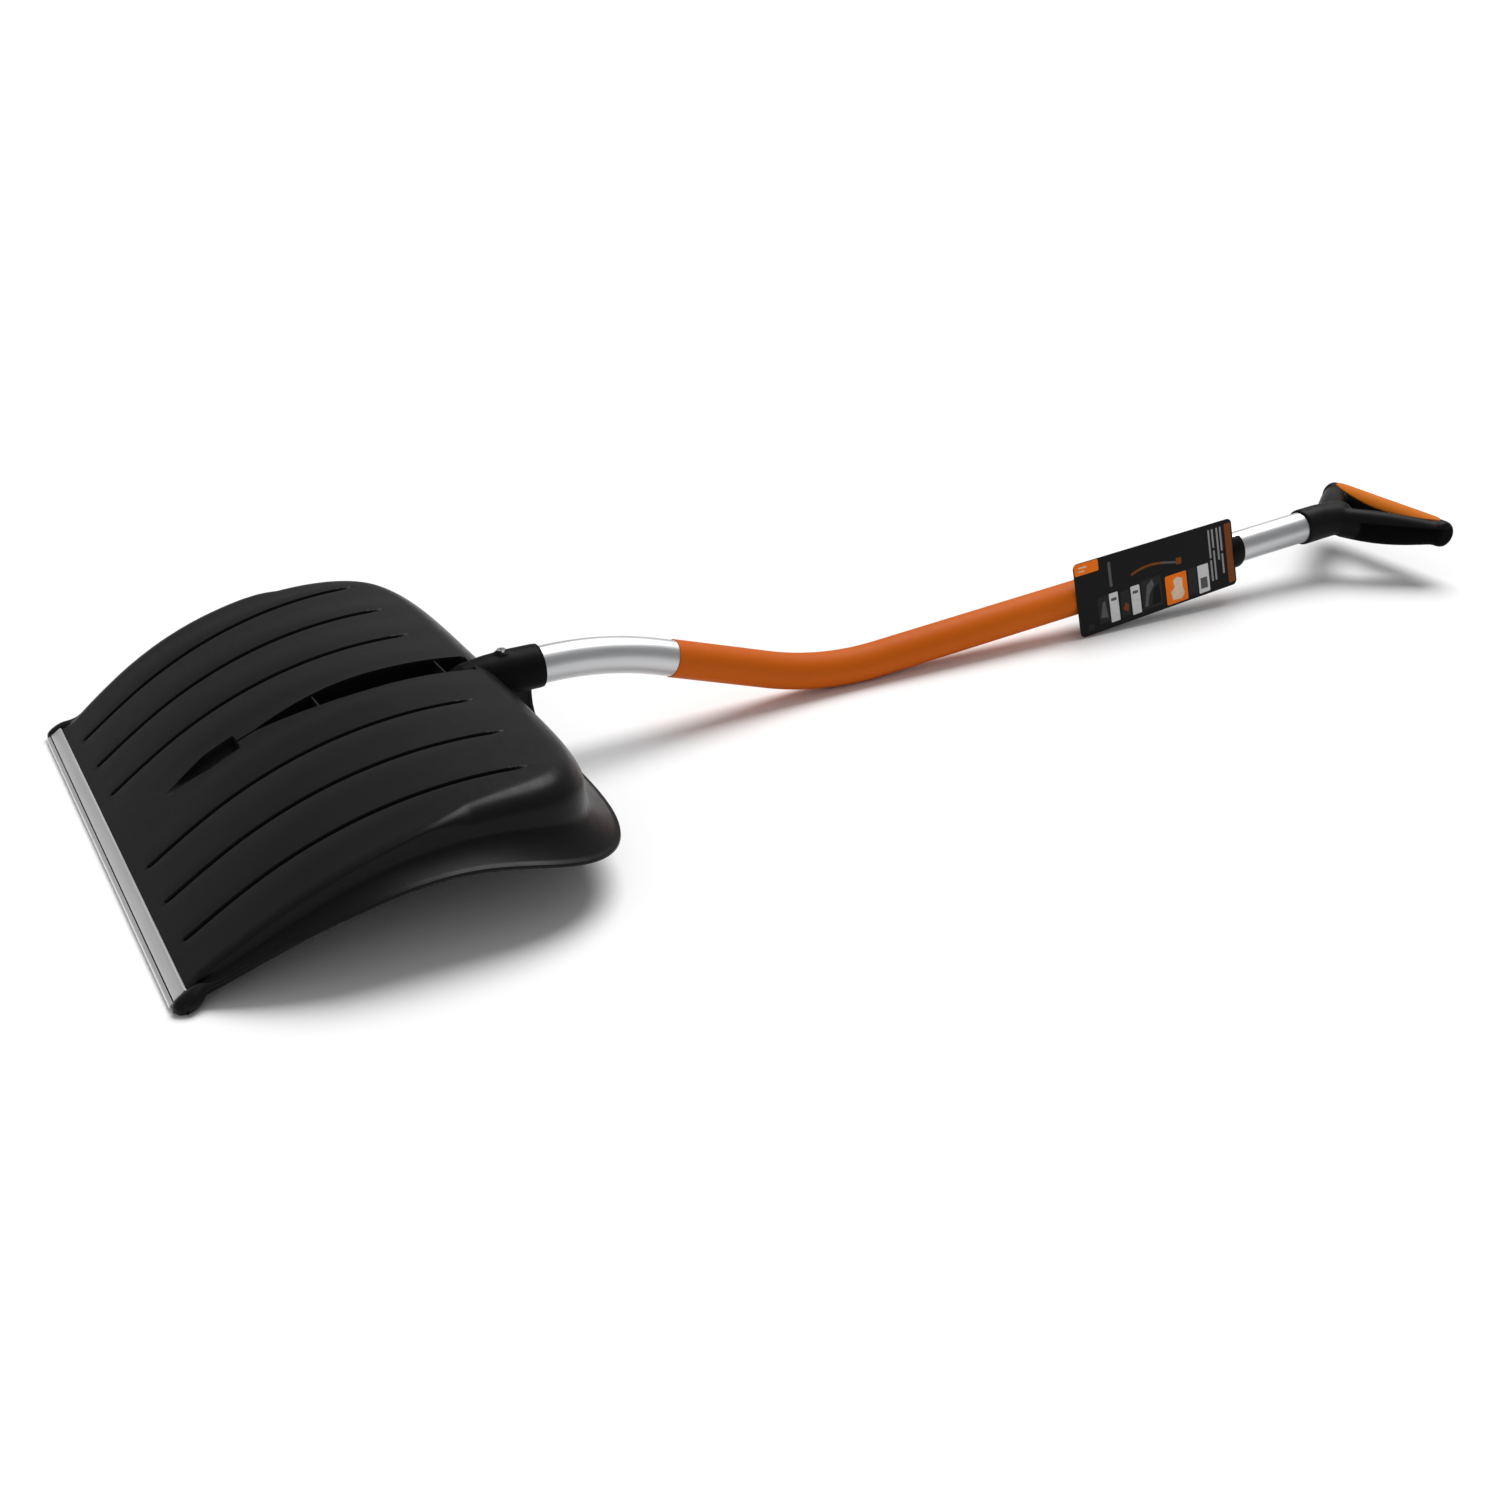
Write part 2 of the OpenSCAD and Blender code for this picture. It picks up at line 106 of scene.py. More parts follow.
# ---------------------------------------------------------------- camera
scene = bpy.context.scene
cam_data = bpy.data.cameras.new("camera")
cam = bpy.data.objects.new("camera", cam_data)
scene.collection.objects.link(cam)
scene.camera = cam
cam_data.lens, cam_data.sensor_width = 43.735, 36
cam_data.clip_end = 100
RIGHT, FORWARD = Vector((0.87912, -0.47642, -0.01320)), Vector((0.42387, 0.79421, -0.43539))
UP = RIGHT.cross(FORWARD)
cam.matrix_world = Matrix.Translation(place((-150.28, -1243.71, 622.57))) @ \
    Matrix((RIGHT, UP, -FORWARD)).transposed().to_4x4()


# ---------------------------------------------------------------- materials
def new_material(name):
    m = bpy.data.materials.new(name)
    m.use_nodes = True
    nodes = m.node_tree.nodes
    return m, nodes, m.node_tree.links, nodes["Principled BSDF"]


def object_coords(nodes, links, scale=(1, 1, 1)):
    tc = nodes.new("ShaderNodeTexCoord")
    mp = nodes.new("ShaderNodeMapping")
    mp.inputs["Scale"].default_value = scale
    links.new(tc.outputs["Object"], mp.inputs["Vector"])
    return mp.outputs["Vector"]


def noise(nodes, links, vec, scale, detail=3.0, rough=0.5):
    n = nodes.new("ShaderNodeTexNoise")
    n.inputs["Scale"].default_value = scale
    n.inputs["Detail"].default_value = detail
    n.inputs["Roughness"].default_value = rough
    links.new(vec, n.inputs["Vector"])
    return n.outputs["Fac"]


def ramp(nodes, links, fac, stops):
    r = nodes.new("ShaderNodeValToRGB")
    while len(r.color_ramp.elements) < len(stops):
        r.color_ramp.elements.new(0.5)
    for e, (pos, col) in zip(r.color_ramp.elements, stops):
        e.position = pos
        e.color = (*col, 1) if len(col) == 3 else col
    links.new(fac, r.inputs["Fac"])
    return r.outputs["Color"]


def grey(v):
    return (v, v, v)


def mix(nodes, links, fac, a, b):
    m = nodes.new("ShaderNodeMix")
    m.data_type = "RGBA"
    for socket, value in ((m.inputs[0], fac), (m.inputs[6], a), (m.inputs[7], b)):
        if hasattr(value, "links"):
            links.new(value, socket)
        else:
            socket.default_value = value
    return m.outputs[2]


def bump(nodes, links, height, distance, strength, normal=None):
    b = nodes.new("ShaderNodeBump")
    b.inputs["Distance"].default_value = distance
    b.inputs["Strength"].default_value = strength
    links.new(height, b.inputs["Height"])
    if normal is not None:
        links.new(normal, b.inputs["Normal"])
    return b.outputs["Normal"]


def edge_wear(nodes, links, low, high):
    g = nodes.new("ShaderNodeNewGeometry")
    return ramp(nodes, links, g.outputs["Pointiness"], [(low, grey(0)), (high, grey(1))])


def plastic(name, dark, light, rough, grain=900, grain_depth=0.00004, worn=None, sheen=0.1,
            shade_by=None):
    """Moulded plastic: cloudy tone and fine grain, with worn edges, and painted shade in the hollows that the
    shade_by attribute marks if asked for.
    """
    m, nodes, links, bsdf = new_material(name)
    vec = object_coords(nodes, links)
    cloud = noise(nodes, links, vec, 9, 4)
    fine = noise(nodes, links, vec, grain, 2)
    col = ramp(nodes, links, cloud, [(0.3, dark), (0.7, light)])
    if worn:
        col = mix(nodes, links, edge_wear(nodes, links, 0.53, 0.62), col, (*worn, 1))
    scuff = noise(nodes, links, object_coords(nodes, links, (2.2, 1, 1)), 60, 6, 0.7)
    shine = ramp(nodes, links, scuff, [(0.3, grey(rough[0])), (0.75, grey(rough[1]))])
    # Painted shade: where the shade_by attribute is high, the colour goes nearly black and the surface
    # rougher, standing in for the shade in recesses.
    if shade_by:
        mask = nodes.new("ShaderNodeAttribute")
        mask.attribute_name = shade_by
        col = mix(nodes, links, mask.outputs["Fac"], col, (*grey(0.001), 1))
        shine = mix(nodes, links, mask.outputs["Fac"], shine, (*grey(0.75), 1))
    links.new(col, bsdf.inputs["Base Color"])
    links.new(shine, bsdf.inputs["Roughness"])
    wavy = bump(nodes, links, cloud, 0.0006, 0.25)
    links.new(bump(nodes, links, fine, grain_depth, 0.6, wavy), bsdf.inputs["Normal"])
    bsdf.inputs["Specular IOR Level"].default_value = sheen
    return m


def aluminium(name, tone, along, rough, lay=None):
    """Satin aluminium with fine drawing lines along one direction, or along the vector attribute lay."""
    m, nodes, links, bsdf = new_material(name)
    vec = object_coords(nodes, links, along)
    if lay:
        path = nodes.new("ShaderNodeAttribute")
        path.attribute_name = lay
        scaled = nodes.new("ShaderNodeMapping")
        scaled.inputs["Scale"].default_value = along
        links.new(path.outputs["Vector"], scaled.inputs["Vector"])
        vec = scaled.outputs["Vector"]
    streak = noise(nodes, links, vec, 1, 4, 0.65)
    cloud = noise(nodes, links, object_coords(nodes, links), 14, 3)
    links.new(ramp(nodes, links, cloud, [(0.3, [c * 0.95 for c in tone]), (0.7, tone)]),
              bsdf.inputs["Base Color"])
    links.new(ramp(nodes, links, streak, [(0.25, grey(rough[0])), (0.75, grey(rough[1]))]),
              bsdf.inputs["Roughness"])
    links.new(bump(nodes, links, streak, 0.00001, 0.35), bsdf.inputs["Normal"])
    bsdf.inputs["Metallic"].default_value = 1.0
    return m


# The blade plastic takes painted shade in its grooves, pocket and slot, through the hollow attribute.
MAT_BLADE = plastic("blade_plastic", (0.0052, 0.0052, 0.0054), (0.0078, 0.0078, 0.008), (0.27, 0.4),
                    worn=(0.013, 0.013, 0.014), sheen=0.1, shade_by="hollow")
MAT_SOCKET = plastic("socket_plastic", (0.0035, 0.0036, 0.004), (0.0055, 0.0056, 0.006), (0.44, 0.56),
                     sheen=0.045)
MAT_CLIP = plastic("clip_plastic", (0.003, 0.003, 0.0034), (0.005, 0.005, 0.0055), (0.45, 0.6), sheen=0.07)
MAT_PAD = plastic("grip_soft", (0.6, 0.15, 0.006), (0.68, 0.18, 0.009), (0.6, 0.75), grain=1600,
                  grain_depth=0.0001, sheen=0.08)
MAT_SLEEVE = plastic("sleeve_orange", (0.53, 0.1, 0.0025), (0.6, 0.118, 0.004), (0.5, 0.62), grain=500,
                     grain_depth=0.00003, sheen=0.1)
MAT_TUBE = aluminium("tube_aluminium", (0.56, 0.565, 0.575), (40, 700, 700), (0.36, 0.46), lay="straight")
MAT_STRIP = aluminium("strip_aluminium", (0.86, 0.865, 0.86), (500, 5, 500), (0.36, 0.5))
MAT_SCREW = aluminium("screw_steel", (0.6, 0.6, 0.61), (900, 900, 900), (0.2, 0.34))


def two_tone_grip():
    """Grey moulded plastic with a black soft layer where the mesh attribute "soft" asks for it."""
    m, nodes, links, bsdf = new_material("grip_plastic")
    vec = object_coords(nodes, links)
    mask = nodes.new("ShaderNodeAttribute")
    mask.attribute_name = "soft"
    cloud, fine = noise(nodes, links, vec, 12, 4), noise(nodes, links, vec, 1300, 2)
    hard = ramp(nodes, links, cloud, [(0.3, grey(0.006)), (0.7, grey(0.0095))])
    soft = ramp(nodes, links, cloud, [(0.3, grey(0.0002)), (0.7, grey(0.0009))])
    links.new(mix(nodes, links, mask.outputs["Fac"], hard, soft), bsdf.inputs["Base Color"])
    links.new(ramp(nodes, links, mask.outputs["Fac"], [(0, grey(0.45)), (1, grey(0.75))]),
              bsdf.inputs["Roughness"])
    wavy = bump(nodes, links, cloud, 0.0005, 0.25)
    links.new(bump(nodes, links, fine, 0.00008, 0.6, wavy), bsdf.inputs["Normal"])
    bsdf.inputs["Specular IOR Level"].default_value = 0.055
    return m


MAT_GRIP = two_tone_grip()


# ---------------------------------------------------------------- mesh helpers
def piece(name, verts, faces, mats, slot, nodes_replaced=(), smooth=True, face_mats=None, merge=0.0):
    """A mesh piece on the root body, with the CAD nodes it replaces, and a material per face. The slot
    argument is not used.
    """
    me = bpy.data.meshes.new(name)
    me.from_pydata([tuple(v) for v in verts], [], [tuple(f) for f in faces])
    me.update()
    for m in mats:
        me.materials.append(m)
    if face_mats:
        me.polygons.foreach_set("material_index", face_mats)
    bm = bmesh.new()
    bm.from_mesh(me)
    if merge:
        bmesh.ops.remove_doubles(bm, verts=bm.verts, dist=merge)
    bmesh.ops.recalc_face_normals(bm, faces=bm.faces)
    for f in bm.faces:
        f.smooth = smooth
    bm.to_mesh(me)
    bm.free()
    o = bpy.data.objects.new(name, me)
    scene.collection.objects.link(o)
    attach(o, "root")
    if nodes_replaced:
        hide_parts(*nodes_replaced)
    return o


def apply_modifiers(o):
    """Makes the modifiers' result the mesh itself."""
    dg = bpy.context.evaluated_depsgraph_get()
    me = bpy.data.meshes.new_from_object(o.evaluated_get(dg))
    o.modifiers.clear()
    o.data = me


def grid_faces(rows, cols, closed=False, base=0):
    """Quads over rows of vertices; closed joins the last column to the first."""
    n = cols if closed else cols - 1
    return [(base + i * cols + j, base + i * cols + (j + 1) % cols, base + (i + 1) * cols + (j + 1) % cols,
             base + (i + 1) * cols + j) for i in range(rows - 1) for j in range(n)]


def sharpen(o, angle):
    """Smooth shading, with edges steeper than the angle kept sharp."""
    for p in o.data.polygons:
        p.use_smooth = True
    o.data.set_sharp_from_angle(angle=math.radians(angle))


# ---------------------------------------------------------------- blade
def unit(t):
    return min(1.0, max(0.0, t))


def ease(t):
    t = unit(t)
    return t * t * (3 - 2 * t)


def between(a, b, t):
    return a + (b - a) * t


ARC1 = (FRONT_R * sin(EDGE_SLOPE), -FRONT_R * cos(EDGE_SLOPE))
ARC2_SLOPE = EDGE_SLOPE - math.degrees(FRONT_RUN / FRONT_R)
ARC2_START = (ARC1[0] - FRONT_R * sin(ARC2_SLOPE), ARC1[1] + FRONT_R * cos(ARC2_SLOPE))
ARC2 = (ARC2_START[0] + BACK_R * sin(ARC2_SLOPE), ARC2_START[1] - BACK_R * cos(ARC2_SLOPE))
HALF_W, CORNER_L = BLADE_W / 2, BLADE_L - CORNER_X


def back_z(x):
    """Height of the blade's back in the centre plane: straight, flat arc, tighter arc."""
    if x <= 0:
        return x * tan(EDGE_SLOPE)
    c, r = (ARC1, FRONT_R) if x <= ARC2_START[0] else (ARC2, BACK_R)
    return c[1] + math.sqrt(r * r - (x - c[0]) ** 2)


def arc_length(x):
    """Length along the back from the edge line to x."""
    if x <= 0:
        return x / cos(EDGE_SLOPE)
    if x <= ARC2_START[0]:
        return FRONT_R * math.radians(EDGE_SLOPE - math.degrees(math.asin((ARC1[0] - x) / FRONT_R)))
    return FRONT_RUN + BACK_R * math.radians(ARC2_SLOPE - math.degrees(math.asin((ARC2[0] - x) / BACK_R)))


def side_y(x):
    """Half width of the back at x."""
    if x < 0:
        return HALF_W - EDGE_NARROWING - 0.45 * x
    return HALF_W - EDGE_NARROWING * (max(0, WIDE_X - x) / WIDE_X) ** 2


def rearness(x):
    """0 along the sides, rising to 1 over the rear of the blade."""
    return ease((x - 150) / 110)


def fillet_r(x):
    return between(SIDE_FILLET, REAR_FILLET, rearness(x))


def fillet_drop(d, r):
    """How far a fillet of radius r has dropped at a distance d inside its edge."""
    return 0.0 if d >= r else r - math.sqrt(max(0.0, r * r - (r - max(0.0, d)) ** 2))


def inset(x, y):
    """Distance, nearly, from a plan point to the outline."""
    px, py = max(0.0, x - CORNER_X) / CORNER_L, abs(y) / side_y(x)
    rho = (px ** CORNER_POWER + py ** CORNER_POWER) ** (1 / CORNER_POWER)
    if rho < 0.05:
        return 999.0
    slope = math.hypot(px ** (CORNER_POWER - 1) / CORNER_L, py ** (CORNER_POWER - 1) / side_y(x))
    return (1 - rho) * rho ** (CORNER_POWER - 1) / max(1e-9, slope)


def rim_z(x):
    """Height of the rim: it arches up from the edge and comes down again at the rear."""
    if x < RIM_TOP_X:
        return between(RIM_LOW, RIM_ARCH, (1 - cos(180 * unit((x + 20) / 180) ** RIM_RISE_POWER)) / 2)
    return between(RIM_ARCH, RIM_REAR, sin(90 * unit((x - RIM_TOP_X) / 160)) ** 2)


def flare(x, nx):
    """How far the skirt flares outwards; nx is the lengthwise part of the outward direction."""
    side, rear = between(8, SIDE_FLARE, unit(x / 100)), between(CORNER_FLARE, MIDDLE_FLARE, nx * nx)
    return between(side, rear, rearness(x))


def slot_w(x):
    """Half width of the spine recess: a pocket, a thin crease and the long slot."""
    if x < POCKET_X[0]:
        return CREASE_W
    if x < POCKET_X[1]:
        return between(CREASE_W, POCKET_HALF_W, (x - POCKET_X[0]) / (POCKET_X[1] - POCKET_X[0]))
    if x < POCKET_X[2]:
        return POCKET_HALF_W
    return between(CREASE_W, SLOT_HALF_W, sin(90 * unit((x - SLOT_X[0]) / (SLOT_X[1] - SLOT_X[0]))))


def slot_floor(x):
    return between(SLOT_FLOOR[0], SLOT_FLOOR[1], unit((x - SLOT_X[0]) / (SLOT_END - SLOT_X[0])))


def slot_depth(x):
    if x < POCKET_X[0]:
        return 0.0
    if x < POCKET_X[2]:
        return POCKET_DEPTH * ease((x - POCKET_X[0]) / 25)
    if x < SLOT_X[0]:
        return CREASE_DEPTH
    return max(0.0, back_z(x) - slot_floor(x)) * unit((SLOT_END + 8 - x) / 6)


def recess(x, y, extra):
    """Depth of the spine recess, made wider by extra on the underside."""
    w = slot_w(x) + extra
    return 0.0 if abs(y) >= w else slot_depth(x) * (1 - (abs(y) / w) ** 7)


GROOVE_Y, GROOVE_END, GROOVE_SPREAD = (63.9, 118.9, 173.9), (270, 269, 262), 0.000531
GROOVE_HALF, GROOVE_FLAT, GROOVE_DEPTH, PILLOW = 2.8, 1.9, 3.8, 0.6
SHOULDER_DEPTH, SHOULDER_HALF, UNDER_RIB, UNDER_RIB_HALF = 0.4, 9, 3.2, 7.5


def groove_line(k, x):
    """Distance of groove k from the centre plane at x: the grooves fan out towards the rear."""
    return GROOVE_Y[k] * (1 + GROOVE_SPREAD * max(0.0, arc_length(x)))


def groove(x, y, under):
    """Moulded grooves along the back; underneath, each one shows as a soft rib."""
    s, z = arc_length(x), 0.0
    for k in range(3):
        d = abs(abs(y) - groove_line(k, x))
        live = ease(s / 5) * ease((GROOVE_END[k] - s) / 20)
        if under:
            z += UNDER_RIB * live * ease((UNDER_RIB_HALF - d) / 5)
        else:
            wide = 0.35 + 0.65 * live
            z += GROOVE_DEPTH * live * (1 - ease((d / wide - GROOVE_FLAT) / (GROOVE_HALF - GROOVE_FLAT)))
            z += SHOULDER_DEPTH * live * ease((SHOULDER_HALF - d) / 8)
    return z


def pillow(x, y):
    """The back swells a little between its grooves and beside the slot."""
    wave = 0.5 - 0.5 * math.cos(2 * math.pi * (abs(y) - 9) / 55)
    return PILLOW * (1 - wave * ease((230 - abs(y)) / 30) * ease((x - 20) / 60) * ease((280 - x) / 50)
                     * ease((abs(y) - 18) / 12))


def outline(a, b):
    """Outline point and outward direction where the grid line through (a, b) meets the corner's edge."""
    rho = max(a, b)
    px, py = square_to_plan(a / rho, b / rho)
    g = Vector((px ** (CORNER_POWER - 1) / CORNER_L, py ** (CORNER_POWER - 1) / HALF_W)).normalized()
    return Vector((CORNER_X + px * CORNER_L, py * HALF_W)), g


def square_to_plan(a, b):
    """Corner region: a square grid coordinate to fractions of the corner's length and width."""
    if a <= 0 or b <= 0:
        return a, b
    k = max(a, b) / (a ** CORNER_POWER + b ** CORNER_POWER) ** (1 / CORNER_POWER)
    return a * k, b * k


def side_point(x):
    return Vector((x, side_y(x))), Vector((side_y(x - 0.5) - side_y(x + 0.5), 1)).normalized()


# The grid over the back stops where the fillet has turned by START_A; the wall sections go on from there.
START_A = 45
FILLET_ANGLES = [45, 50, 55, 60, 65, 70, 75, 80, 88]
SKIRT_START = 0.55


def wall_height(p, n):
    return back_z(p.x) - rim_z(p.x + flare(p.x, n.x) * n.x)


def edge_r(p, n, t):
    """Fillet radius at an outline point, smaller on the inner skin."""
    r = min(fillet_r(p.x), 0.4 * wall_height(p, n))
    return max(0.6, r - t) if t else r


def plan_point(x, a, b, t):
    """Grid coordinate to a plan point drawn in from the outline, with the fillet radius there."""
    if x is not None:
        p, n = side_point(x)
        rho, q = b, Vector((x, b * p.y))
    else:
        rho = max(a, b, 1e-6)
        p, n = outline(a, b) if rho > 1e-5 else (Vector((CORNER_X + CORNER_L, 0)), Vector((1, 0)))
        u, v = square_to_plan(a, b)
        q = Vector((CORNER_X + u * CORNER_L, v * HALF_W))
    r = edge_r(p, n, t)
    d0 = (r * (1 - sin(START_A)) + t) * rho ** 4
    return q.x - d0 * n.x, max(0.0, q.y - d0 * n.y), r


def column_at(x, a, t, target):
    """The grid coordinate b whose plan point lies on a lengthwise line given by target(x)."""
    lo, hi = 0.0, 0.97
    for _ in range(24):
        m = (lo + hi) / 2
        px, py = plan_point(x, a, m, t)[:2]
        lo, hi = (m, hi) if py < target(px) else (lo, m)
    return (lo + hi) / 2


def back_height(x, y, r, t):
    """Height of a skin's back at a plan point, with every recess, groove and swell."""
    wide = UNDER_WIDER if t else 0.0
    hollow = recess(x, y, wide)
    return back_z(x) - t - fillet_drop(inset(x, y) - t, r) - hollow - groove(x, y, t > 0) - pillow(x, y)


def wall_section(p, n, t, steps=10):
    """Fillet, steep wall, flared skirt and thin lip below the outline point p, as points."""
    full_h = wall_height(p, n)
    r, h = edge_r(p, n, t), max(0.8, full_h - t)
    f = flare(p.x, n.x)
    k = between(SIDE_DRAFT, REAR_DRAFT, rearness(p.x))
    h1 = max(r + 0.3, SKIRT_START * h)
    d1 = k * (h1 - r)
    pts = [(-r * (1 - sin(a)), -r * (1 - cos(a))) for a in FILLET_ANGLES]
    pts += [(k * (q * (h1 - r)), -between(r, h1, q)) for q in (0.4, 0.8)]
    lip = min(2.4, 0.12 * full_h)
    end = full_h - lip if not t else h
    for i in range(0, steps + 1):
        q = i / steps
        pts.append((between(d1, f, q ** 1.4), -between(h1, end, q)))
    if t:
        pts += [(f + 0.2, -h), (f + 0.5, -h), (f + 1, -h), (f + 1.6, -h)]
    else:
        pts += [(f + 0.6 * LIP_W, -end + 0.1), (f + 0.95 * LIP_W, -(full_h - 0.75 * lip)),
                (f + LIP_W, -(full_h - 0.4 * lip)), (f + LIP_W, -full_h)]
    out = []
    for d, z in pts:
        d -= t
        x = p.x + d * n.x
        drop = t + PILLOW * ease(-(d + t) / 1 if r < 2 else -(d + t) / (0.3 * r))
        out.append(Vector((x, p.y + d * n.y, (back_z(x) if d < 0 else back_z(p.x)) - drop + z)))
    return out


SIDE_ROWS, CORNER_ROWS = 88, 76
SLOT_COLS = [0, 0.4, 0.7, 0.86, 0.94, 0.985, 1.0]
GROOVE_COLS = (-3.7, -2.9, -2.55, -2.25, -1.9, 0, 1.9, 2.25, 2.55, 2.9, 3.7)


def blade_skin(t):
    """One skin of the blade, t mm below its top: a grid over the back, with wall sections round it."""
    # Even rows, and extra ones where the pocket starts and ends and where the slot starts
    even = [between(FRONT_X, CORNER_X, i / SIDE_ROWS) for i in range(SIDE_ROWS + 1)]
    xs = sorted(set(even + [86.4, 87, 87.5, 31, 100.8]))
    stations = [(x, 0.0) for x in xs] + [(None, i / CORNER_ROWS) for i in range(1, CORNER_ROWS + 1)]
    verts = []
    for x, a in stations:
        # In the last rows the columns keep the grid coordinates that they have at 0.86
        frozen = min(a, 0.86)
        slot_b = column_at(x, frozen, t, lambda px: slot_w(min(px, SLOT_END)) + (UNDER_WIDER if t else 0.0))
        unit_b = 1 / (side_y(x) if x is not None else HALF_W)
        clusters = []
        for k in range(3):
            if x is not None:
                mid = column_at(x, 0, t, lambda px: groove_line(k, px))
                clusters.append([mid + e * unit_b for e in GROOVE_COLS])
            else:
                clusters.append([column_at(x, frozen, t, lambda px: groove_line(k, min(px, 268)) + e)
                                 for e in GROOVE_COLS])
        line = [c * slot_b for c in SLOT_COLS] + [slot_b + e * unit_b for e in (0.5, 1.2, 2.5)]
        for k in range(3):
            start, end = line[-1], clusters[k][0]
            line += [between(start, end, i / 8) for i in range(1, 8)] + clusters[k]
        start = line[-1]
        line += [between(start, 1, (i / 10) ** 0.85) for i in range(1, 11)]
        half_row = []
        for b in line:
            px, py, r = plan_point(x, a, b, t)
            half_row.append(Vector((px, py, back_height(px, py, r, t))))
        verts += [Vector((v.x, -v.y, v.z)) for v in reversed(half_row[1:])] + half_row
    n_cols, rows, mid = 2 * len(line) - 1, len(stations), len(line) - 1
    ring = []
    for i, (x, a) in enumerate(stations):
        p, n = side_point(x) if x is not None else outline(a, 1.0)
        ring.append((i * n_cols + n_cols - 1, p, n))
    last = (rows - 1) * n_cols
    for j in range(len(line) - 2, -1, -1):
        p, n = outline(1.0, line[j]) if line[j] > 0 else (Vector((CORNER_X + CORNER_L, 0)), Vector((1, 0)))
        ring.append((last + mid + j, p, n))
    # Both halves: the far half mirrors the near one
    full = list(ring)
    for idx, p, n in reversed(ring[:-1]):
        row, col = divmod(idx, n_cols)
        full.append((row * n_cols + n_cols - 1 - col, Vector((p.x, -p.y)), Vector((n.x, -n.y))))
    faces = grid_faces(rows, n_cols)
    strips = []
    for idx, p, n in full:
        sec = wall_section(p, n, t)
        verts[idx] = sec[0]
        base = len(verts)
        verts += sec[1:]
        strips.append([idx] + list(range(base, base + len(sec) - 1)))
    for s, q in zip(strips, strips[1:]):
        faces += [(a, b, c, d) for a, b, c, d in zip(s, s[1:], q[1:], q)]
    return verts, faces


def make_blade():
    """Outer and inner skins joined round the rim."""
    outer, faces = blade_skin(0.0)
    inner = blade_skin(WALL_T)[0]
    n = len(outer)
    used, rim = {}, []
    for f in faces:
        for e in zip(f, f[1:] + f[:1]):
            used[tuple(sorted(e))] = used.get(tuple(sorted(e)), 0) + 1
    for f in faces:
        rim += [(a, b, n + b, n + a) for a, b in zip(f, f[1:] + f[:1]) if used[tuple(sorted((a, b)))] == 1]
    faces = faces + [tuple(n + i for i in reversed(f)) for f in faces] + [tuple(reversed(q)) for q in rim]
    points = [place(v) for v in outer + inner]
    o = piece("blade", points, faces, [MAT_BLADE], "blade_plastic", ["blade_shell"])
    # Painted shade: hollow grows with the depth of the pocket, slot and grooves, and the material darkens
    # those places to near black.
    layer = o.data.attributes.new("hollow", "FLOAT", "POINT")
    for v, value in zip(outer, layer.data):
        in_back = abs(v.y) < side_y(v.x) - 20
        deep = recess(v.x, v.y, 0) + (groove(v.x, v.y, False) - SHOULDER_DEPTH if in_back else 0)
        value.value = unit(deep / 2.4)
    sharpen(o, 55)


make_blade()


def rounded_box(centre, size, r):
    """Vertices and faces of a box with rounded edges."""
    bm = bmesh.new()
    bmesh.ops.create_cube(bm, size=1.0)
    for v in bm.verts:
        v.co = Vector([c * s for c, s in zip(v.co, size)])
    bmesh.ops.bevel(bm, geom=bm.edges[:], offset=r, segments=3, profile=0.5, affect="EDGES")
    vs = [place(Vector(centre) + v.co) for v in bm.verts]
    fs = [[v.index for v in f.verts] for f in bm.faces]
    bm.free()
    return vs, fs


def join_parts(parts):
    """One list of vertices and one of faces from several."""
    verts, faces = [], []
    for vs, fs in parts:
        base = len(verts)
        verts += vs
        faces += [[base + i for i in f] for f in fs]
    return verts, faces


def slot_ribs():
    """The two cross webs in the slot."""
    parts = []
    for x in RIB_X:
        top = back_z(x) - 2
        low = slot_floor(x) - 1
        parts.append(rounded_box((x, 0, (top + low) / 2), (RIB_T, 2 * slot_w(x) + 0.6, top - low), 0.5))
    piece("slot_ribs", *join_parts(parts), [MAT_BLADE], "blade_plastic")


slot_ribs()


# ---------------------------------------------------------------- wear strip, and the lobes at its ends
def edge_frame(u, v):
    """A point in the strip's cross section: u back along the blade, v square to it."""
    return u * cos(EDGE_SLOPE) - v * sin(EDGE_SLOPE), u * sin(EDGE_SLOPE) + v * cos(EDGE_SLOPE)


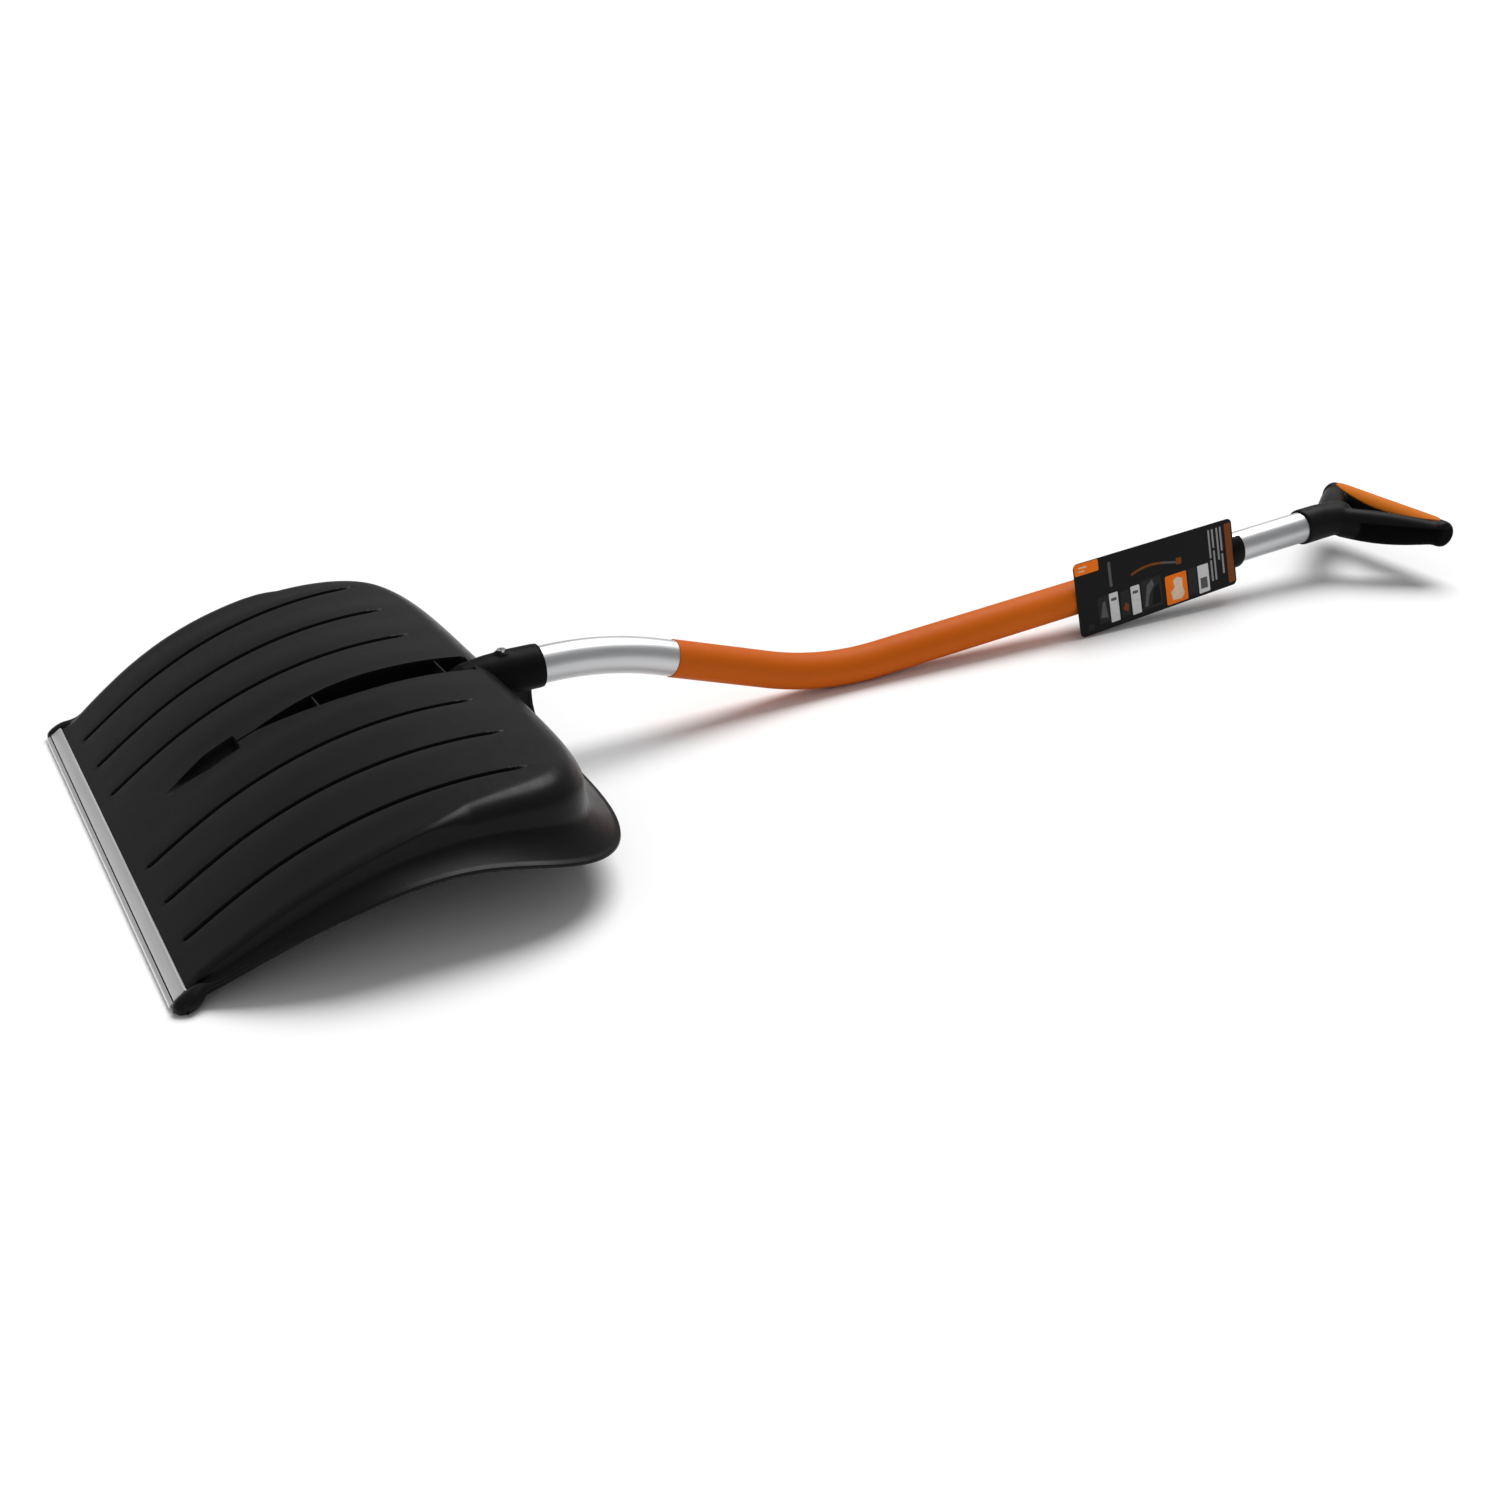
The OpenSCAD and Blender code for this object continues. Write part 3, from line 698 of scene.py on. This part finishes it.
def make_strip():
    """A folded strip with a rounded nose and a pressed line along its upper leg, whose walls and floor take
    the dark clip material as painted shade.
    """
    low = -CHANNEL_T - STRIP_T
    prof = [(-STRIP_TOP_U, 0.05), (-STRIP_TOP_U - 0.25, STRIP_T * 0.75), (-STRIP_TOP_U - 0.8, STRIP_T)]
    pressed = len(prof) + 1
    prof += [(-21.2, STRIP_T), (-21.45, STRIP_T - 0.12), (-21.6, STRIP_T - 1.05), (-22.3, STRIP_T - 1.05),
             (-22.45, STRIP_T - 0.12), (-22.7, STRIP_T)]
    cv = low + NOSE_R
    for a in range(90, 271, 15):
        prof.append((-NOSE_U + NOSE_R * cos(a), cv + NOSE_R * sin(a)))
    prof += [(-STRIP_TOP_U, low), (-STRIP_TOP_U, -CHANNEL_T), (-NOSE_U + 1.3, -CHANNEL_T),
             (-NOSE_U + 1.3, 0.0)]
    n = len(prof)
    ys = [-1, -0.998, -0.99] + [i / 20 for i in range(-19, 20)] + [0.99, 0.998, 1]
    verts = []
    for f in ys:
        shrink = 0.25 if abs(f) == 1 else 0.0
        for u, v in prof:
            x, z = edge_frame(u - shrink * (u + 17.5) * 0.06, v - shrink * (v + 1) * 0.25)
            slant = 1 if abs(f) > 0.98 else 0
            y = f * STRIP_L / 2 - math.copysign(slant * (u + NOSE_U) * 0.12, f)
            verts.append(place((x, y, max(z, FLOOR_Z))))
    faces = grid_faces(len(ys), n, closed=True)
    faces += [list(range(n - 1, -1, -1)), [(len(ys) - 1) * n + i for i in range(n)]]
    sides = (len(ys) - 1) * n
    # Painted shade: the pressed line's two walls and its floor get the dark clip material.
    painted_shade_faces = [1 if i < sides and pressed <= i % n <= pressed + 2 else 0 for i in range(len(faces))]
    o = piece("edge_strip", verts, faces, [MAT_STRIP, MAT_CLIP], "strip_aluminium", ["wear_strip"],
              face_mats=painted_shade_faces)
    sharpen(o, 28)


make_strip()


def tube_solid(rings, place_fn=place):
    """A closed solid through rings, each (centre, axis_u, axis_v, ru, rv)."""
    verts, n = [], 48
    for c, u, v, ru, rv in rings:
        for i in range(n):
            t = 2 * math.pi * i / n
            along_u, along_v = Vector(u) * (ru * math.cos(t)), Vector(v) * (rv * math.sin(t))
            verts.append(place_fn(Vector(c) + along_u + along_v))
    faces = grid_faces(len(rings), n, closed=True)
    faces += [list(range(n - 1, -1, -1)), [(len(rings) - 1) * n + i for i in range(n)]]
    return verts, faces


X, Y, Z = (1, 0, 0), (0, 1, 0), (0, 0, 1)


def make_lobes():
    """The moulding's thick rounded ends beyond the strip, each running out into a bead along the side rim."""
    parts = []
    for side in (-1, 1):
        rings = []
        for i in range(49):
            x = between(LOBE_X[0], LOBE_X[1], i / 48)
            slim = ease((x + 9) / 18)
            nose = math.sqrt(max(0.0, 1 - max(0.0, 1 - (x - LOBE_X[0]) / LOBE_NOSE) ** 2.4)) + 0.001
            tail = nose * (1 - 0.9 * ease((x - 40) / 60))
            ry, rz = (between(LOBE_R[k], BEAD_R[k], slim) * tail for k in (0, 1))
            y = between(LOBE_Y, side_y(x) + flare(x, 0) + LIP_W - ry, slim)
            z = between(LOBE_Z + 0.42 * (x + 6), rim_z(x) + rz, ease((x + 10) / 18))
            rings.append(((x, side * y, z), Y, (-sin(30), 0, cos(30)), ry, rz))
        vs, fs = tube_solid(rings)
        floor = (FLOOR_Z + 0.15 + OZ) * MM
        parts.append(([Vector((v.x, v.y, max(v.z, floor))) for v in vs], fs))
    piece("edge_lobes", *join_parts(parts), [MAT_BLADE], "blade_plastic")


make_lobes()


# ---------------------------------------------------------------- socket
def blend_solids(name, solids, mat, slot, nodes_replaced, voxel, rounds):
    """Joins closed shapes into one skin and softens every inner corner."""
    verts, faces = join_parts(solids)
    o = piece(name, verts, faces, [mat], slot, nodes_replaced)
    re = o.modifiers.new("skin", "REMESH")
    re.mode, re.voxel_size, re.use_smooth_shade = "VOXEL", voxel, True
    sm = o.modifiers.new("soften", "SMOOTH")
    sm.factor, sm.iterations = 0.5, rounds
    apply_modifiers(o)
    for p in o.data.polygons:
        p.use_smooth = True
    return o


def barrel_rings():
    """The barrel rises out of the slot's floor and widens to the mouth."""
    line = ((238, 2.5, 55), (246, 8.5, 56), (254, 12.2, 57.8), (262, 14.6, 59.4), (282, 16.4, 60.4),
            (302, 17.7, 60.4), (SOCKET_MOUTH - 1.2, SOCKET_D / 2, SOCKET_Z),
            (SOCKET_MOUTH, SOCKET_D / 2 - 1, SOCKET_Z))
    return [((x, 0, z), Y, Z, r, r) for x, r, z in line]


def gusset():
    """Level egg-shaped slices from the barrel to the rear rim: wide on the blade, thin at the free edge."""
    verts, n, levels = [], 48, 16
    for i in range(levels + 1):
        q = i / levels
        z = between(SOCKET_Z, RIM_REAR + 4.5, q)
        # The slice's front end moves back on the way down; its rear end is slightly waisted
        x0 = between(258, 296, q ** 0.95)
        x1 = 318.5 + 3.5 * (1 - q) ** 4 + 2.5 * q ** 4
        for k in range(n):
            c, s = math.cos(2 * math.pi * k / n), math.sin(2 * math.pi * k / n)
            along = (1 + c) / 2
            wide = between(15.5, 14, q) + 6 * sin(180 * q ** 0.6)
            half = between(wide, between(9, 3.6, ease(q * 1.8)), ease(along * 1.25 - 0.18))
            verts.append(place((between(x0, x1, along), math.copysign(abs(s) ** 0.8, s) * half, z)))
    faces = grid_faces(levels + 1, n, closed=True)
    faces += [list(range(n - 1, -1, -1)), [levels * n + i for i in range(n)]]
    return verts, faces


def make_socket():
    """Barrel, gusset and the boss under the screw, as one moulding."""
    boss = [((BOSS_X, 0, SOCKET_Z + 8), X, Y, 7.5, 7.5),
            ((BOSS_X, 0, SOCKET_Z + SOCKET_D / 2 + 0.6), X, Y, 5.6, 5.6)]
    blend_solids("socket", [tube_solid(barrel_rings()), gusset(), tube_solid(boss)],
                 MAT_SOCKET, "socket_plastic", ["shaft_socket"], 0.0011, 7)


make_socket()


def make_socket_rim():
    """The rounded rim of the socket's mouth, with a shadow gap round the tube."""
    prof = []
    for a in range(0, 360, 30):
        prof.append((SOCKET_MOUTH - 0.6 + 1.1 * cos(a), SOCKET_D / 2 - 1.5 + 1.25 * sin(a)))
    n, verts = 72, []
    for i in range(n):
        t = 360 * i / n
        for x, r in prof:
            verts.append(place((x, r * cos(t), SOCKET_Z + r * sin(t))))
    k = len(prof)
    faces = [(i * k + j, i * k + (j + 1) % k, ((i + 1) % n) * k + (j + 1) % k, ((i + 1) % n) * k + j)
             for i in range(n) for j in range(k)]
    piece("socket_rim", verts, faces, [MAT_SOCKET], "socket_plastic")


make_socket_rim()
screw_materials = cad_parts["socket_screw"].data.materials
screw_materials.clear()
screw_materials.append(MAT_SCREW)


# ---------------------------------------------------------------- shaft
END_SLOPE = BEND2_A - BEND1_A


def bend1_at(a):
    """Centre line of the downward bend where the shaft slopes down by a degrees."""
    return BEND1_X + BEND1_R * sin(a), SOCKET_Z - BEND1_R + BEND1_R * cos(a)


MID_START = bend1_at(BEND1_A)
BEND2_START = (MID_START[0] + MID_RUN * cos(BEND1_A), MID_START[1] - MID_RUN * sin(BEND1_A))


def bend2_at(a):
    """Centre line of the upward bend where the shaft slopes down by a degrees."""
    return (BEND2_START[0] + BEND2_R * (sin(BEND1_A) - sin(a)),
            BEND2_START[1] + BEND2_R * (cos(BEND1_A) - cos(a)))


BEND2_END = bend2_at(-END_SLOPE)


def upper_end(x):
    """A station (x, z, slope down) on the long straight that runs up to the grip."""
    return x, BEND2_END[1] + (x - BEND2_END[0]) * tan(END_SLOPE), -END_SLOPE


def sweep(name, stations, radii, mat, slot, nodes_replaced, sides=96):
    """A skin of rings along stations (x, z, slope down), each with its radius."""
    verts = []
    for (x, z, a), r in zip(stations, radii):
        for i in range(sides):
            t = 360 * i / sides
            verts.append(place((x + r * cos(t) * sin(a), r * sin(t), z + r * cos(t) * cos(a))))
    faces = grid_faces(len(stations), sides, closed=True)
    o = piece(name, verts, faces, [mat], slot, nodes_replaced)
    # The same points with the shaft straightened, for the drawing lines
    layer = o.data.attributes.new("straight", "FLOAT_VECTOR", "POINT")
    run, before = 0.0, stations[0]
    for i, ((x, z, a), r) in enumerate(zip(stations, radii)):
        step = math.hypot(x - before[0], z - before[1])
        run, before = run + (step if x >= before[0] else -step), (x, z, a)
        for k in range(sides):
            t = 360 * k / sides
            layer.data[i * sides + k].vector = (run * MM, r * sin(t) * MM, r * cos(t) * MM)
    sharpen(o, 35)


def make_shaft():
    """The bent tube with its bore, and the sleeve on it."""
    bend1 = [(*bend1_at(BEND1_A * k / 24), BEND1_A * k / 24) for k in range(25)]
    bend2 = [(*bend2_at(BEND1_A - BEND2_A * k / 28), BEND1_A - BEND2_A * k / 28) for k in range(29)]
    r, bore = TUBE_D / 2, TUBE_D / 2 - TUBE_T
    outer = [(BORE_START, SOCKET_Z, 0)] + bend1 + bend2 + [upper_end(TUBE_END_X)]
    path = [outer[0]] + outer + [outer[-1]] + outer[::-1] + [outer[0]]
    radii = [bore] + [r] * len(outer) + [bore] * (len(outer) + 2)
    sweep("tube", path, radii, MAT_TUBE, "tube_aluminium", ["shaft_tube"])

    def sleeve_at(d):
        """A station on the middle straight, d mm after the sleeve's lower end."""
        start = MID_START[0] + SLEEVE_SKIP * cos(BEND1_A), MID_START[1] - SLEEVE_SKIP * sin(BEND1_A)
        return start[0] + d * cos(BEND1_A), start[1] - d * sin(BEND1_A), BEND1_A

    # Sleeve: a thin skin whose ends roll down to the tube, and back inside along the same stations
    top = r + SLEEVE_T
    path = [sleeve_at(d) for d in (0, 0, 0.25, 0.7, 4)] + bend2 + \
        [upper_end(SLEEVE_END_X - 1), upper_end(SLEEVE_END_X)]
    radii = [r - 0.05, top - 0.35, top - 0.1] + [top] * (len(bend2) + 3) + [top - 0.3]
    sweep("sleeve", path + path[::-1], radii + [r - 0.05] * len(radii), MAT_SLEEVE, "sleeve_orange",
          ["shaft_sleeve"])


make_shaft()


def on_shaft(x):
    """Matrix of the local frame on the upper shaft at x: local +X up along the shaft, in mm."""
    p = upper_end(x)
    return Matrix.Translation((p[0], 0, p[1])) @ Matrix.Rotation(math.radians(-END_SLOPE), 4, "Y")


def make_clip():
    """An open ring round the tube, with rounded edges and ends."""
    m, r0, r1, l = on_shaft(SLEEVE_END_X), TUBE_D / 2 + 0.02, TUBE_D / 2 + 3.5, 15
    prof = [(0.4, r0), (l - 0.4, r0), (l, r0 + 0.5), (l, r1 - 1.3), (l - 0.5, r1 - 0.4), (l - 1.5, r1),
            (1.5, r1), (0.5, r1 - 0.4), (0, r1 - 1.3), (0, r0 + 0.5)]
    n, k, verts = 60, len(prof), []
    for i in range(n + 1):
        t = between(116, 319, i / n)
        for x, r in prof:
            f = 0.75 if i in (0, n) else 1
            rr = r0 + 1.4 + (r - r0 - 1.4) * f
            verts.append(place(m @ Vector((x, rr * cos(t), rr * sin(t)))))
    faces = grid_faces(n + 1, k, closed=True)
    faces += [list(range(k - 1, -1, -1)), [n * k + i for i in range(k)]]
    o = piece("clip", verts, faces, [MAT_CLIP], "clip_plastic", ["sleeve_clip"])
    sharpen(o, 40)


make_clip()


# ---------------------------------------------------------------- card
def flat_print(name, colour):
    """Printed card stock with a faint fleck."""
    m, nodes, links, bsdf = new_material(name)
    fleck = noise(nodes, links, object_coords(nodes, links), 260, 3)
    links.new(ramp(nodes, links, fleck, [(0.25, [c * 0.86 for c in colour]), (0.75, colour)]),
              bsdf.inputs["Base Color"])
    links.new(ramp(nodes, links, fleck, [(0.3, grey(0.35)), (0.7, grey(0.43))]), bsdf.inputs["Roughness"])
    links.new(bump(nodes, links, fleck, 0.00003, 0.3), bsdf.inputs["Normal"])
    bsdf.inputs["Specular IOR Level"].default_value = 0.1
    return m


PRINT = {
    "black": flat_print("print_black", (0.0075, 0.0074, 0.0075)),
    "orange": flat_print("print_orange", (0.95, 0.19, 0.006)),
    "rust": flat_print("print_rust", (0.2, 0.055, 0.01)),
    "white": flat_print("print_white", (0.66, 0.66, 0.66)),
    "pale": flat_print("print_pale", (0.8, 0.6, 0.45)),
    "text": flat_print("print_text", (0.3, 0.3, 0.305)),
    "grey": flat_print("print_grey", (0.1, 0.1, 0.103)),
    "mid": flat_print("print_mid", (0.02, 0.021, 0.022)),
    "dark": flat_print("print_dark", (0.005, 0.005, 0.0055)),
}
PRINT_ORDER = list(PRINT)

CARD_M = on_shaft(CARD_X) @ Matrix.Rotation(math.radians(-CARD_LEAN), 4, "X")
CARD_FRONT = -(TUBE_D / 2 + SLEEVE_T + 0.3) - CARD_T


def card_point(u, v, lift=0.0):
    """A point on the printed side: u left to right and v top to bottom, 0 to 1. The lower edge rises."""
    top, low = CARD_H / 2, -CARD_H / 2 + CARD_TAPER * u
    return place(CARD_M @ Vector((u * CARD_L, CARD_FRONT - lift, top + (low - top) * v)))


def round_rect(u0, v0, u1, v1, r, n=5):
    """Outline of a rounded rectangle in card fractions; r is in mm."""
    ru, rv = r / CARD_L, r / CARD_H
    pts = []
    corners = ((u1 - ru, v1 - rv), (u0 + ru, v1 - rv), (u0 + ru, v0 + rv), (u1 - ru, v0 + rv))
    for k, (cu, cv) in enumerate(corners):
        for i in range(n + 1):
            a = 90 * k + 90 * i / n
            pts.append((cu + ru * cos(a), cv + rv * sin(a)))
    return pts


def slab(outline_pts, front, back):
    """A thin closed plate on the card between two lifts from its printed side."""
    n = len(outline_pts)
    vs = [card_point(u, v, front) for u, v in outline_pts] + [card_point(u, v, back) for u, v in outline_pts]
    fs = [list(range(n)), list(range(2 * n - 1, n - 1, -1))]
    fs += [(i, n + i, n + (i + 1) % n, (i + 1) % n) for i in range(n)]
    return vs, fs


def make_card():
    """The card, and a thin wrap that runs from its back round the sleeve."""
    base = slab(round_rect(0, 0, 1, 1, 5, 8), 0.0, -CARD_T)
    piece("card", *base, [PRINT["black"]], "card_print", ["product_card"], smooth=False)
    wrap_r = TUBE_D / 2 + SLEEVE_T + 0.3
    verts, arc = [], [(-wrap_r, -wrap_r)] + [(-wrap_r * cos(a), wrap_r * sin(a)) for a in range(0, 181, 6)] \
        + [(wrap_r, -wrap_r)]
    x0, x1 = (CARD_L - WRAP_L) / 2, (CARD_L + WRAP_L) / 2
    for k in (1.0, 1 + 0.6 / wrap_r):
        for x in (x0, x1):
            verts += [place(CARD_M @ Vector((x, q * (k if q > 0 else 1), -p * k))) for p, q in arc]
    n = len(arc)
    faces = []
    for a, b in ((0, 1), (1, 3), (3, 2), (2, 0)):
        faces += [(a * n + i, a * n + i + 1, b * n + i + 1, b * n + i) for i in range(n - 1)]
    faces += [(0, n, 3 * n, 2 * n), (n - 1, 2 * n - 1, 4 * n - 1, 3 * n - 1)]
    piece("card_wrap", verts, faces, [PRINT["black"]], "card_print", smooth=False)


def make_card_print():
    """Generic blocks and pictures with no lettering."""
    marks = []

    def block(col, u0, v0, u1, v1, r=1.0, lift=0.10):
        marks.append((col, round_rect(u0, v0, u1, v1, r), lift))

    def poly(col, pts, lift=0.14):
        marks.append((col, pts, lift))

    def stroke(col, pts, width, lift=0.16):
        """A thick line through points, in card fractions; width in mm."""
        left, right = [], []
        for i, (u, v) in enumerate(pts):
            a, b = pts[max(0, i - 1)], pts[min(len(pts) - 1, i + 1)]
            d = Vector(((b[0] - a[0]) * CARD_L, (b[1] - a[1]) * CARD_H)).normalized()
            left.append((u - d.y * width / 2 / CARD_L, v + d.x * width / 2 / CARD_H))
            right.append((u + d.y * width / 2 / CARD_L, v - d.x * width / 2 / CARD_H))
        poly(col, left + right[::-1], lift)

    block("orange", 0.004, 0.006, 0.15, 0.165, 1.6)
    for i, w in enumerate((0.05, 0.035)):
        block("pale", 0.03, 0.055 + 0.05 * i, 0.03 + w, 0.075 + 0.05 * i, 0.3, 0.16)
    block("grey", 0.205, 0.10, 0.222, 0.44, 0.5)
    bow = [(0.34 + 0.3 * t, 0.40 - 0.10 * math.sin(math.pi * (0.1 + 0.9 * t)) * (1 - 0.35 * t)) for t in
           [i / 14 for i in range(15)]]
    stroke("rust", bow[:10], 2.4)
    stroke("grey", bow[9:], 2.2)
    block("rust", 0.625, 0.335, 0.66, 0.43, 1.2, 0.18)
    block("mid", 0.12, 0.54, 0.185, 0.90, 0.8)
    poly("grey", [(0.13, 0.82), (0.15, 0.62), (0.165, 0.60), (0.175, 0.84)])
    block("white", 0.192, 0.53, 0.247, 0.93, 0.8)
    block("grey", 0.203, 0.60, 0.236, 0.64, 0.3, 0.16)
    block("mid", 0.262, 0.55, 0.315, 0.91, 0.8)
    poly("rust", [(0.27, 0.80), (0.29, 0.72), (0.308, 0.76), (0.30, 0.86)])
    block("white", 0.327, 0.53, 0.383, 0.93, 0.8)
    block("grey", 0.338, 0.60, 0.372, 0.64, 0.3, 0.16)
    block("mid", 0.395, 0.50, 0.52, 0.92, 1.0)
    poly("grey", [(0.405, 0.88), (0.43, 0.58), (0.465, 0.52), (0.475, 0.60), (0.44, 0.72), (0.425, 0.88)])
    poly("dark", [(0.45, 0.88), (0.47, 0.66), (0.505, 0.60), (0.512, 0.88)])
    block("orange", 0.545, 0.55, 0.682, 0.97, 1.6)
    poly("pale", [(0.585, 0.92), (0.575, 0.80), (0.60, 0.74), (0.595, 0.64), (0.62, 0.60), (0.655, 0.64),
                  (0.65, 0.76), (0.662, 0.86), (0.64, 0.93)])
    block("mid", 0.692, 0.55, 0.745, 0.93, 0.8)
    block("white", 0.755, 0.55, 0.825, 0.96, 0.8)
    block("grey", 0.768, 0.74, 0.812, 0.90, 0.5, 0.16)
    for u, runs in ((0.842, ((0.08, 0.5), (0.53, 0.84))), (0.866, ((0.08, 0.36), (0.4, 0.84))),
                    (0.895, ((0.08, 0.56),)), (0.918, ((0.08, 0.44), (0.48, 0.78)))):
        for v0, v1 in runs:
            block("text", u, v0, u + 0.011, v1, 0.5)
    block("rust", 0.95, 0.06, 0.992, 0.95, 0.8)
    block("mid", 0.05, 0.86, 0.085, 0.94, 1.4)
    verts, faces, mats = [], [], []
    for col, pts, lift in marks:
        vs, fs = slab(pts, lift, -0.02)
        base = len(verts)
        verts += vs
        faces += [[base + i for i in f] for f in fs]
        mats += [PRINT_ORDER.index(col)] * len(fs)
    piece("card_marks", verts, faces, list(PRINT.values()), "card_print", smooth=False, face_mats=mats)


make_card()
make_card_print()


# ---------------------------------------------------------------- grip
GRIP_M = on_shaft(NECK_X)
BAR_R = BAR_D / 2
ELBOW_R = BAR_R - 1
SOFT_X, SOFT_TOP, ARM_ROOT, ELBOW = 52, 7, (NECK_L, 8, -3), (GRIP_REACH - 7, 64, -GRIP_DROP + 0.6)


def grip_place(p):
    return place(GRIP_M @ Vector(p))


def arm_rings(a, b, n=12):
    """An arm of the grip: taller than wide, and deepest in the middle."""
    d = (b - a).normalized()
    u = d.cross(Vector((0, 0, 1))).normalized()
    v = u.cross(d)
    rings = []
    for i in range(n + 1):
        swell = math.sin(math.pi * i / n)
        wide = between(BAR_R - 0.5, ELBOW_R, i / n) + 0.8 * swell
        tall = between(BAR_R + 1.5, ELBOW_R, i / n) + 2.8 * swell
        rings.append((a + (b - a) * (i / n) + Vector((0, 0, -1.2 * swell)), u, v, wide, tall))
    return rings


def ball_rings(c, r):
    return [((c[0] - r * cos(a), c[1], c[2]), (0, -1, 0), Z, r * sin(a) + 1e-4, r * sin(a) + 1e-4)
            for a in range(0, 181, 15)]


def make_grip():
    """Neck, two arms and the cross bar, blended into one moulding."""
    fork, fork_r, end = (NECK_L + 5, 0, -1), NECK_R - 1.8, GRIP_W / 2
    neck = [((0.3, 0, 0), Y, Z, NECK_R - 0.7, NECK_R - 0.7), ((1.3, 0, 0), Y, Z, NECK_R, NECK_R),
            ((24, 0, 0), Y, Z, NECK_R - 0.2, NECK_R - 0.2), (fork, Y, Z, NECK_R + 2, fork_r)]
    solids = [tube_solid(neck, grip_place), tube_solid(ball_rings(fork, fork_r), grip_place)]
    for s in (-1, 1):
        root, elbow = (Vector((p[0], s * p[1], p[2])) for p in (ARM_ROOT, ELBOW))
        solids.append(tube_solid(arm_rings(root, elbow), grip_place))
        solids.append(tube_solid(ball_rings(elbow, ELBOW_R), grip_place))
    # The bar's rounded end, as (distance from the end, how much thinner)
    cap = ((0.3, 5), (1.4, 2.3), (3.2, 0.8), (6, 0))
    stations = [(d - end, BAR_R - thin) for d, thin in cap]
    stations += [(end - d, BAR_R - thin) for d, thin in cap[::-1]]
    solids.append(tube_solid([((GRIP_REACH, y, -GRIP_DROP), X, Z, r, r) for y, r in stations], grip_place))
    o = blend_solids("grip", solids, MAT_GRIP, "grip_plastic", ["grip_body"], 0.0012, 14)
    # Where the soft black layer lies: beyond the neck, on the arms' outer sides, below their top
    back = GRIP_M.inverted() @ Matrix.Translation((-OX, 0, -OZ)) @ Matrix.Scale(1 / MM, 4)
    layer = o.data.attributes.new("soft", "FLOAT", "POINT")
    for v, value in zip(o.data.vertices, layer.data):
        p = back @ v.co
        outward = 0.75 * (abs(p.y) - ARM_ROOT[1]) - 0.66 * (p.x - ARM_ROOT[0])
        value.value = ease((p.x - SOFT_X - 0.12 * p.z) / 2.5 + 0.5) * ease((outward + 3) / 4) * \
            ease((SOFT_TOP - (p.z + GRIP_DROP * unit(p.x / GRIP_REACH))) / 2 + 0.5)


make_grip()


def make_pad():
    """Soft lens-shaped pad on the top of the cross bar, crowned, with a rolled border."""
    half, reach = GRIP_W / 2 - 10, BAR_R - 1.5
    n_y, n_t, top, low = 140, 48, [], []
    for i in range(n_y + 1):
        f = 2 * i / n_y - 1
        w = reach * math.sqrt(max(0.0, 1 - f * f)) * 0.94
        span = math.degrees(math.asin(min(1, w / BAR_R)))
        outer, under = [], []
        for j in range(n_t + 1):
            g = 2 * j / n_t - 1
            lift = 1.35 * unit(3 * (1 - abs(g) ** 6) * (1 - f ** 8)) ** 0.5
            for r, row in ((BAR_R - 0.35 + lift, outer), (BAR_R - 0.9, under)):
                x, z = GRIP_REACH + r * sin(span * g), -GRIP_DROP + r * cos(span * g)
                row.append(grip_place((x, half * f, z)))
        top += outer
        low += under
    cols, base = n_t + 1, len(top)
    faces = grid_faces(n_y + 1, cols) + grid_faces(n_y + 1, cols, base=base)
    border = list(range(cols)) + [i * cols + n_t for i in range(1, n_y + 1)] \
        + [n_y * cols + j for j in range(n_t - 1, -1, -1)] + [i * cols for i in range(n_y - 1, 0, -1)]
    faces += [(a, b, base + b, base + a) for a, b in zip(border, border[1:] + border[:1])]
    o = piece("grip_pad_soft", top + low, faces, [MAT_PAD], "grip_soft", ["grip_pad"], merge=0.00002)
    sharpen(o, 60)


make_pad()


# ---------------------------------------------------------------- stage and light
def make_floor():
    """A plain pale floor, 60 m wide."""
    bm = bmesh.new()
    bmesh.ops.create_grid(bm, x_segments=8, y_segments=8, size=30)
    me = bpy.data.meshes.new("floor")
    bm.to_mesh(me)
    bm.free()
    o = bpy.data.objects.new("floor", me)
    scene.collection.objects.link(o)
    m, *_, bsdf = new_material("floor_paper")
    bsdf.inputs["Base Color"].default_value = (0.93, 0.93, 0.93, 1)
    bsdf.inputs["Roughness"].default_value = 0.9
    bsdf.inputs["Specular IOR Level"].default_value = 0.1
    me.materials.append(m)


make_floor()

world = bpy.data.worlds.new("studio")
scene.world = world
world.use_nodes = True
background = world.node_tree.nodes["Background"]
background.inputs["Color"].default_value = (1, 1, 1, 1)
background.inputs["Strength"].default_value = 0.33
scene.view_settings.view_transform = "Standard"


def soft_light(name, at, to, size, power):
    """A round soft box at one point, turned towards another."""
    d = bpy.data.lights.new(name, "AREA")
    d.shape, d.size, d.energy = "DISK", size, power
    o = bpy.data.objects.new(name, d)
    scene.collection.objects.link(o)
    o.location = at
    o.rotation_euler = (Vector(to) - Vector(at)).to_track_quat("-Z", "Y").to_euler()


soft_light("side", (-2.2, -2.6, 1.6), (0, 0, 0), 1.6, 6)
sun = bpy.data.objects.new("sky", bpy.data.lights.new("sky", "SUN"))
scene.collection.objects.link(sun)
sun.data.energy, sun.data.angle = 2.9, math.radians(40)
sun.rotation_euler = Vector((0.42, 0.33, 0.84)).to_track_quat("Z", "Y").to_euler()
